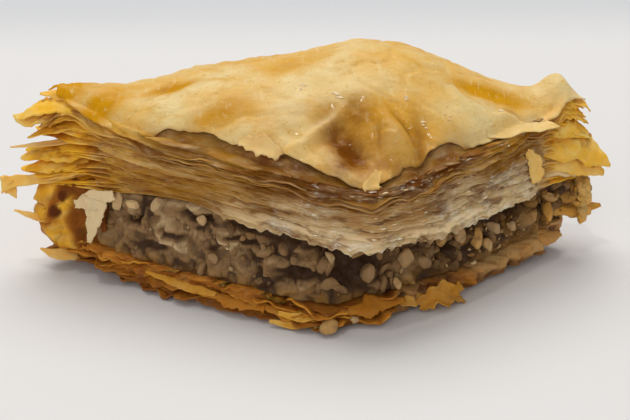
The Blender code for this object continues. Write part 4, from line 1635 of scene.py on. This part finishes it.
VIEW_TURN = math.radians(-4.05)
VIEW_RISE = math.radians(22.0)
VIEW_DISTANCE = 137.1 * MM
VIEW_AIM = Vector((-0.23, 0.0, 6.03)) * MM
VIEW_LENS = 63.4
VIEW_NEAREST = 1 * MM

# The lamps: their name, place, width, power and tint.
LAMPS = (
    ("Overhead", (-0.05, 0.62, 1.35), 1.3, 14.0, (1.0, 0.985, 0.96)),
    ("Front Fill", (-0.6, -1.3, 0.7), 1.2, 5.0, (0.97, 0.98, 1.0)),
    ("Glint", (-0.15, -0.25, 1.1), 0.06, 1.1, (1.0, 0.99, 0.97)),
)
ROOM_TINT = (0.93, 0.945, 0.96, 1.0)
ROOM_LIGHT = 0.40

# The floor: half its width, where it starts to bend up behind the piece, how steeply, and between which
# distances behind the piece it goes over to its far colour.
FLOOR_REACH = 2.0
FLOOR_BEND_FROM = 0.9
FLOOR_BEND = 0.9
FLOOR_FADES = (0.10, 0.16)


class BaklavaStage(bpy.types.Operator):
    """Make the pale floor, the soft lights and the camera."""

    bl_idname = "baklava.stage"
    bl_label = "Stage"

    def execute(self, context):
        colours = settings()[1]
        self.make_floor(colours)
        for row in LAMPS:
            self.make_light(*row)
        world = bpy.data.worlds.new("Pale Room")
        world.use_nodes = True
        world.node_tree.nodes["Background"].inputs["Color"].default_value = ROOM_TINT
        world.node_tree.nodes["Background"].inputs["Strength"].default_value = ROOM_LIGHT
        context.scene.world = world
        context.scene.view_settings.view_transform = "Standard"
        back = Vector((
            math.sin(VIEW_TURN) * math.cos(VIEW_RISE),
            -math.cos(VIEW_TURN) * math.cos(VIEW_RISE),
            math.sin(VIEW_RISE),
        ))
        camera = bpy.data.objects.new("Camera", bpy.data.cameras.new("Camera"))
        camera.data.lens = VIEW_LENS
        camera.data.clip_start = VIEW_NEAREST
        camera.location = VIEW_AIM + back * VIEW_DISTANCE
        camera.rotation_euler = (-back).to_track_quat("-Z", "Y").to_euler()
        context.scene.collection.objects.link(camera)
        context.scene.camera = camera
        return {"FINISHED"}

    def make_floor(self, colours):
        mesh = bmesh.new()
        bmesh.ops.create_grid(mesh, x_segments=2, y_segments=40, size=FLOOR_REACH)
        for point in mesh.verts:
            past = max(0.0, point.co.y - FLOOR_BEND_FROM)
            point.co.z = FLOOR_BEND * past * past
        finish = Finish("Pale Surface", colours.floor)
        finish.set(roughness=0.75)
        split = finish.tree.nodes.new("ShaderNodeSeparateXYZ")
        finish.tree.links.new(finish.place, split.inputs["Vector"])
        finish.tint(finish.between(split.outputs["Y"], *FLOOR_FADES), colours.floor_far)
        finish.feed(finish.relief(finish.cloud(6.0, 3.0), 0.02, 0.3), "Normal")
        data = bpy.data.meshes.new("floor")
        mesh.to_mesh(data)
        mesh.free()
        data.shade_smooth()
        data.materials.append(finish.done())
        floor = bpy.data.objects.new("floor", data)
        bpy.context.scene.collection.objects.link(floor)

    def make_light(self, name, place, size, power, tint):
        lamp = bpy.data.lights.new(name, "AREA")
        lamp.shape = "DISK"
        lamp.size = size
        lamp.energy = power
        lamp.color = tint
        light = bpy.data.objects.new(name, lamp)
        light.location = place
        light.rotation_euler = (-Vector(place)).to_track_quat("-Z", "Y").to_euler()
        bpy.context.scene.collection.objects.link(light)


# ---------------------------------------------------------------- the panel and registration

OPERATORS = (BaklavaStage, BaklavaBase, BaklavaNuts, BaklavaStack, BaklavaSkin, BaklavaScraps, BaklavaSyrup)


class BaklavaPanel(bpy.types.Panel):
    """Lists the makers and their settings."""

    bl_label = "Baklava"
    bl_idname = "VIEW3D_PT_baklava"
    bl_space_type = "VIEW_3D"
    bl_region_type = "UI"
    bl_category = "Baklava"

    def draw(self, context):
        for group in settings():
            box = self.layout.box()
            for name in group.__annotations__:
                box.prop(group, name)
        for operator in OPERATORS:
            self.layout.operator(operator.bl_idname)


CLASSES = (BaklavaSizes, BaklavaColours, *OPERATORS, BaklavaPanel)


def register():
    for each in CLASSES:
        bpy.utils.register_class(each)
    bpy.types.Scene.baklava_sizes = PointerProperty(type=BaklavaSizes)
    bpy.types.Scene.baklava_colours = PointerProperty(type=BaklavaColours)


def unregister():
    del bpy.types.Scene.baklava_colours
    del bpy.types.Scene.baklava_sizes
    for each in reversed(CLASSES):
        bpy.utils.unregister_class(each)


def main():
    register()
    bpy.ops.baklava.stage()
    bpy.ops.baklava.base()
    bpy.ops.baklava.nuts()
    bpy.ops.baklava.stack()
    bpy.ops.baklava.skin()
    bpy.ops.baklava.scraps()
    bpy.ops.baklava.syrup()


if __name__ == "__main__":
    main()
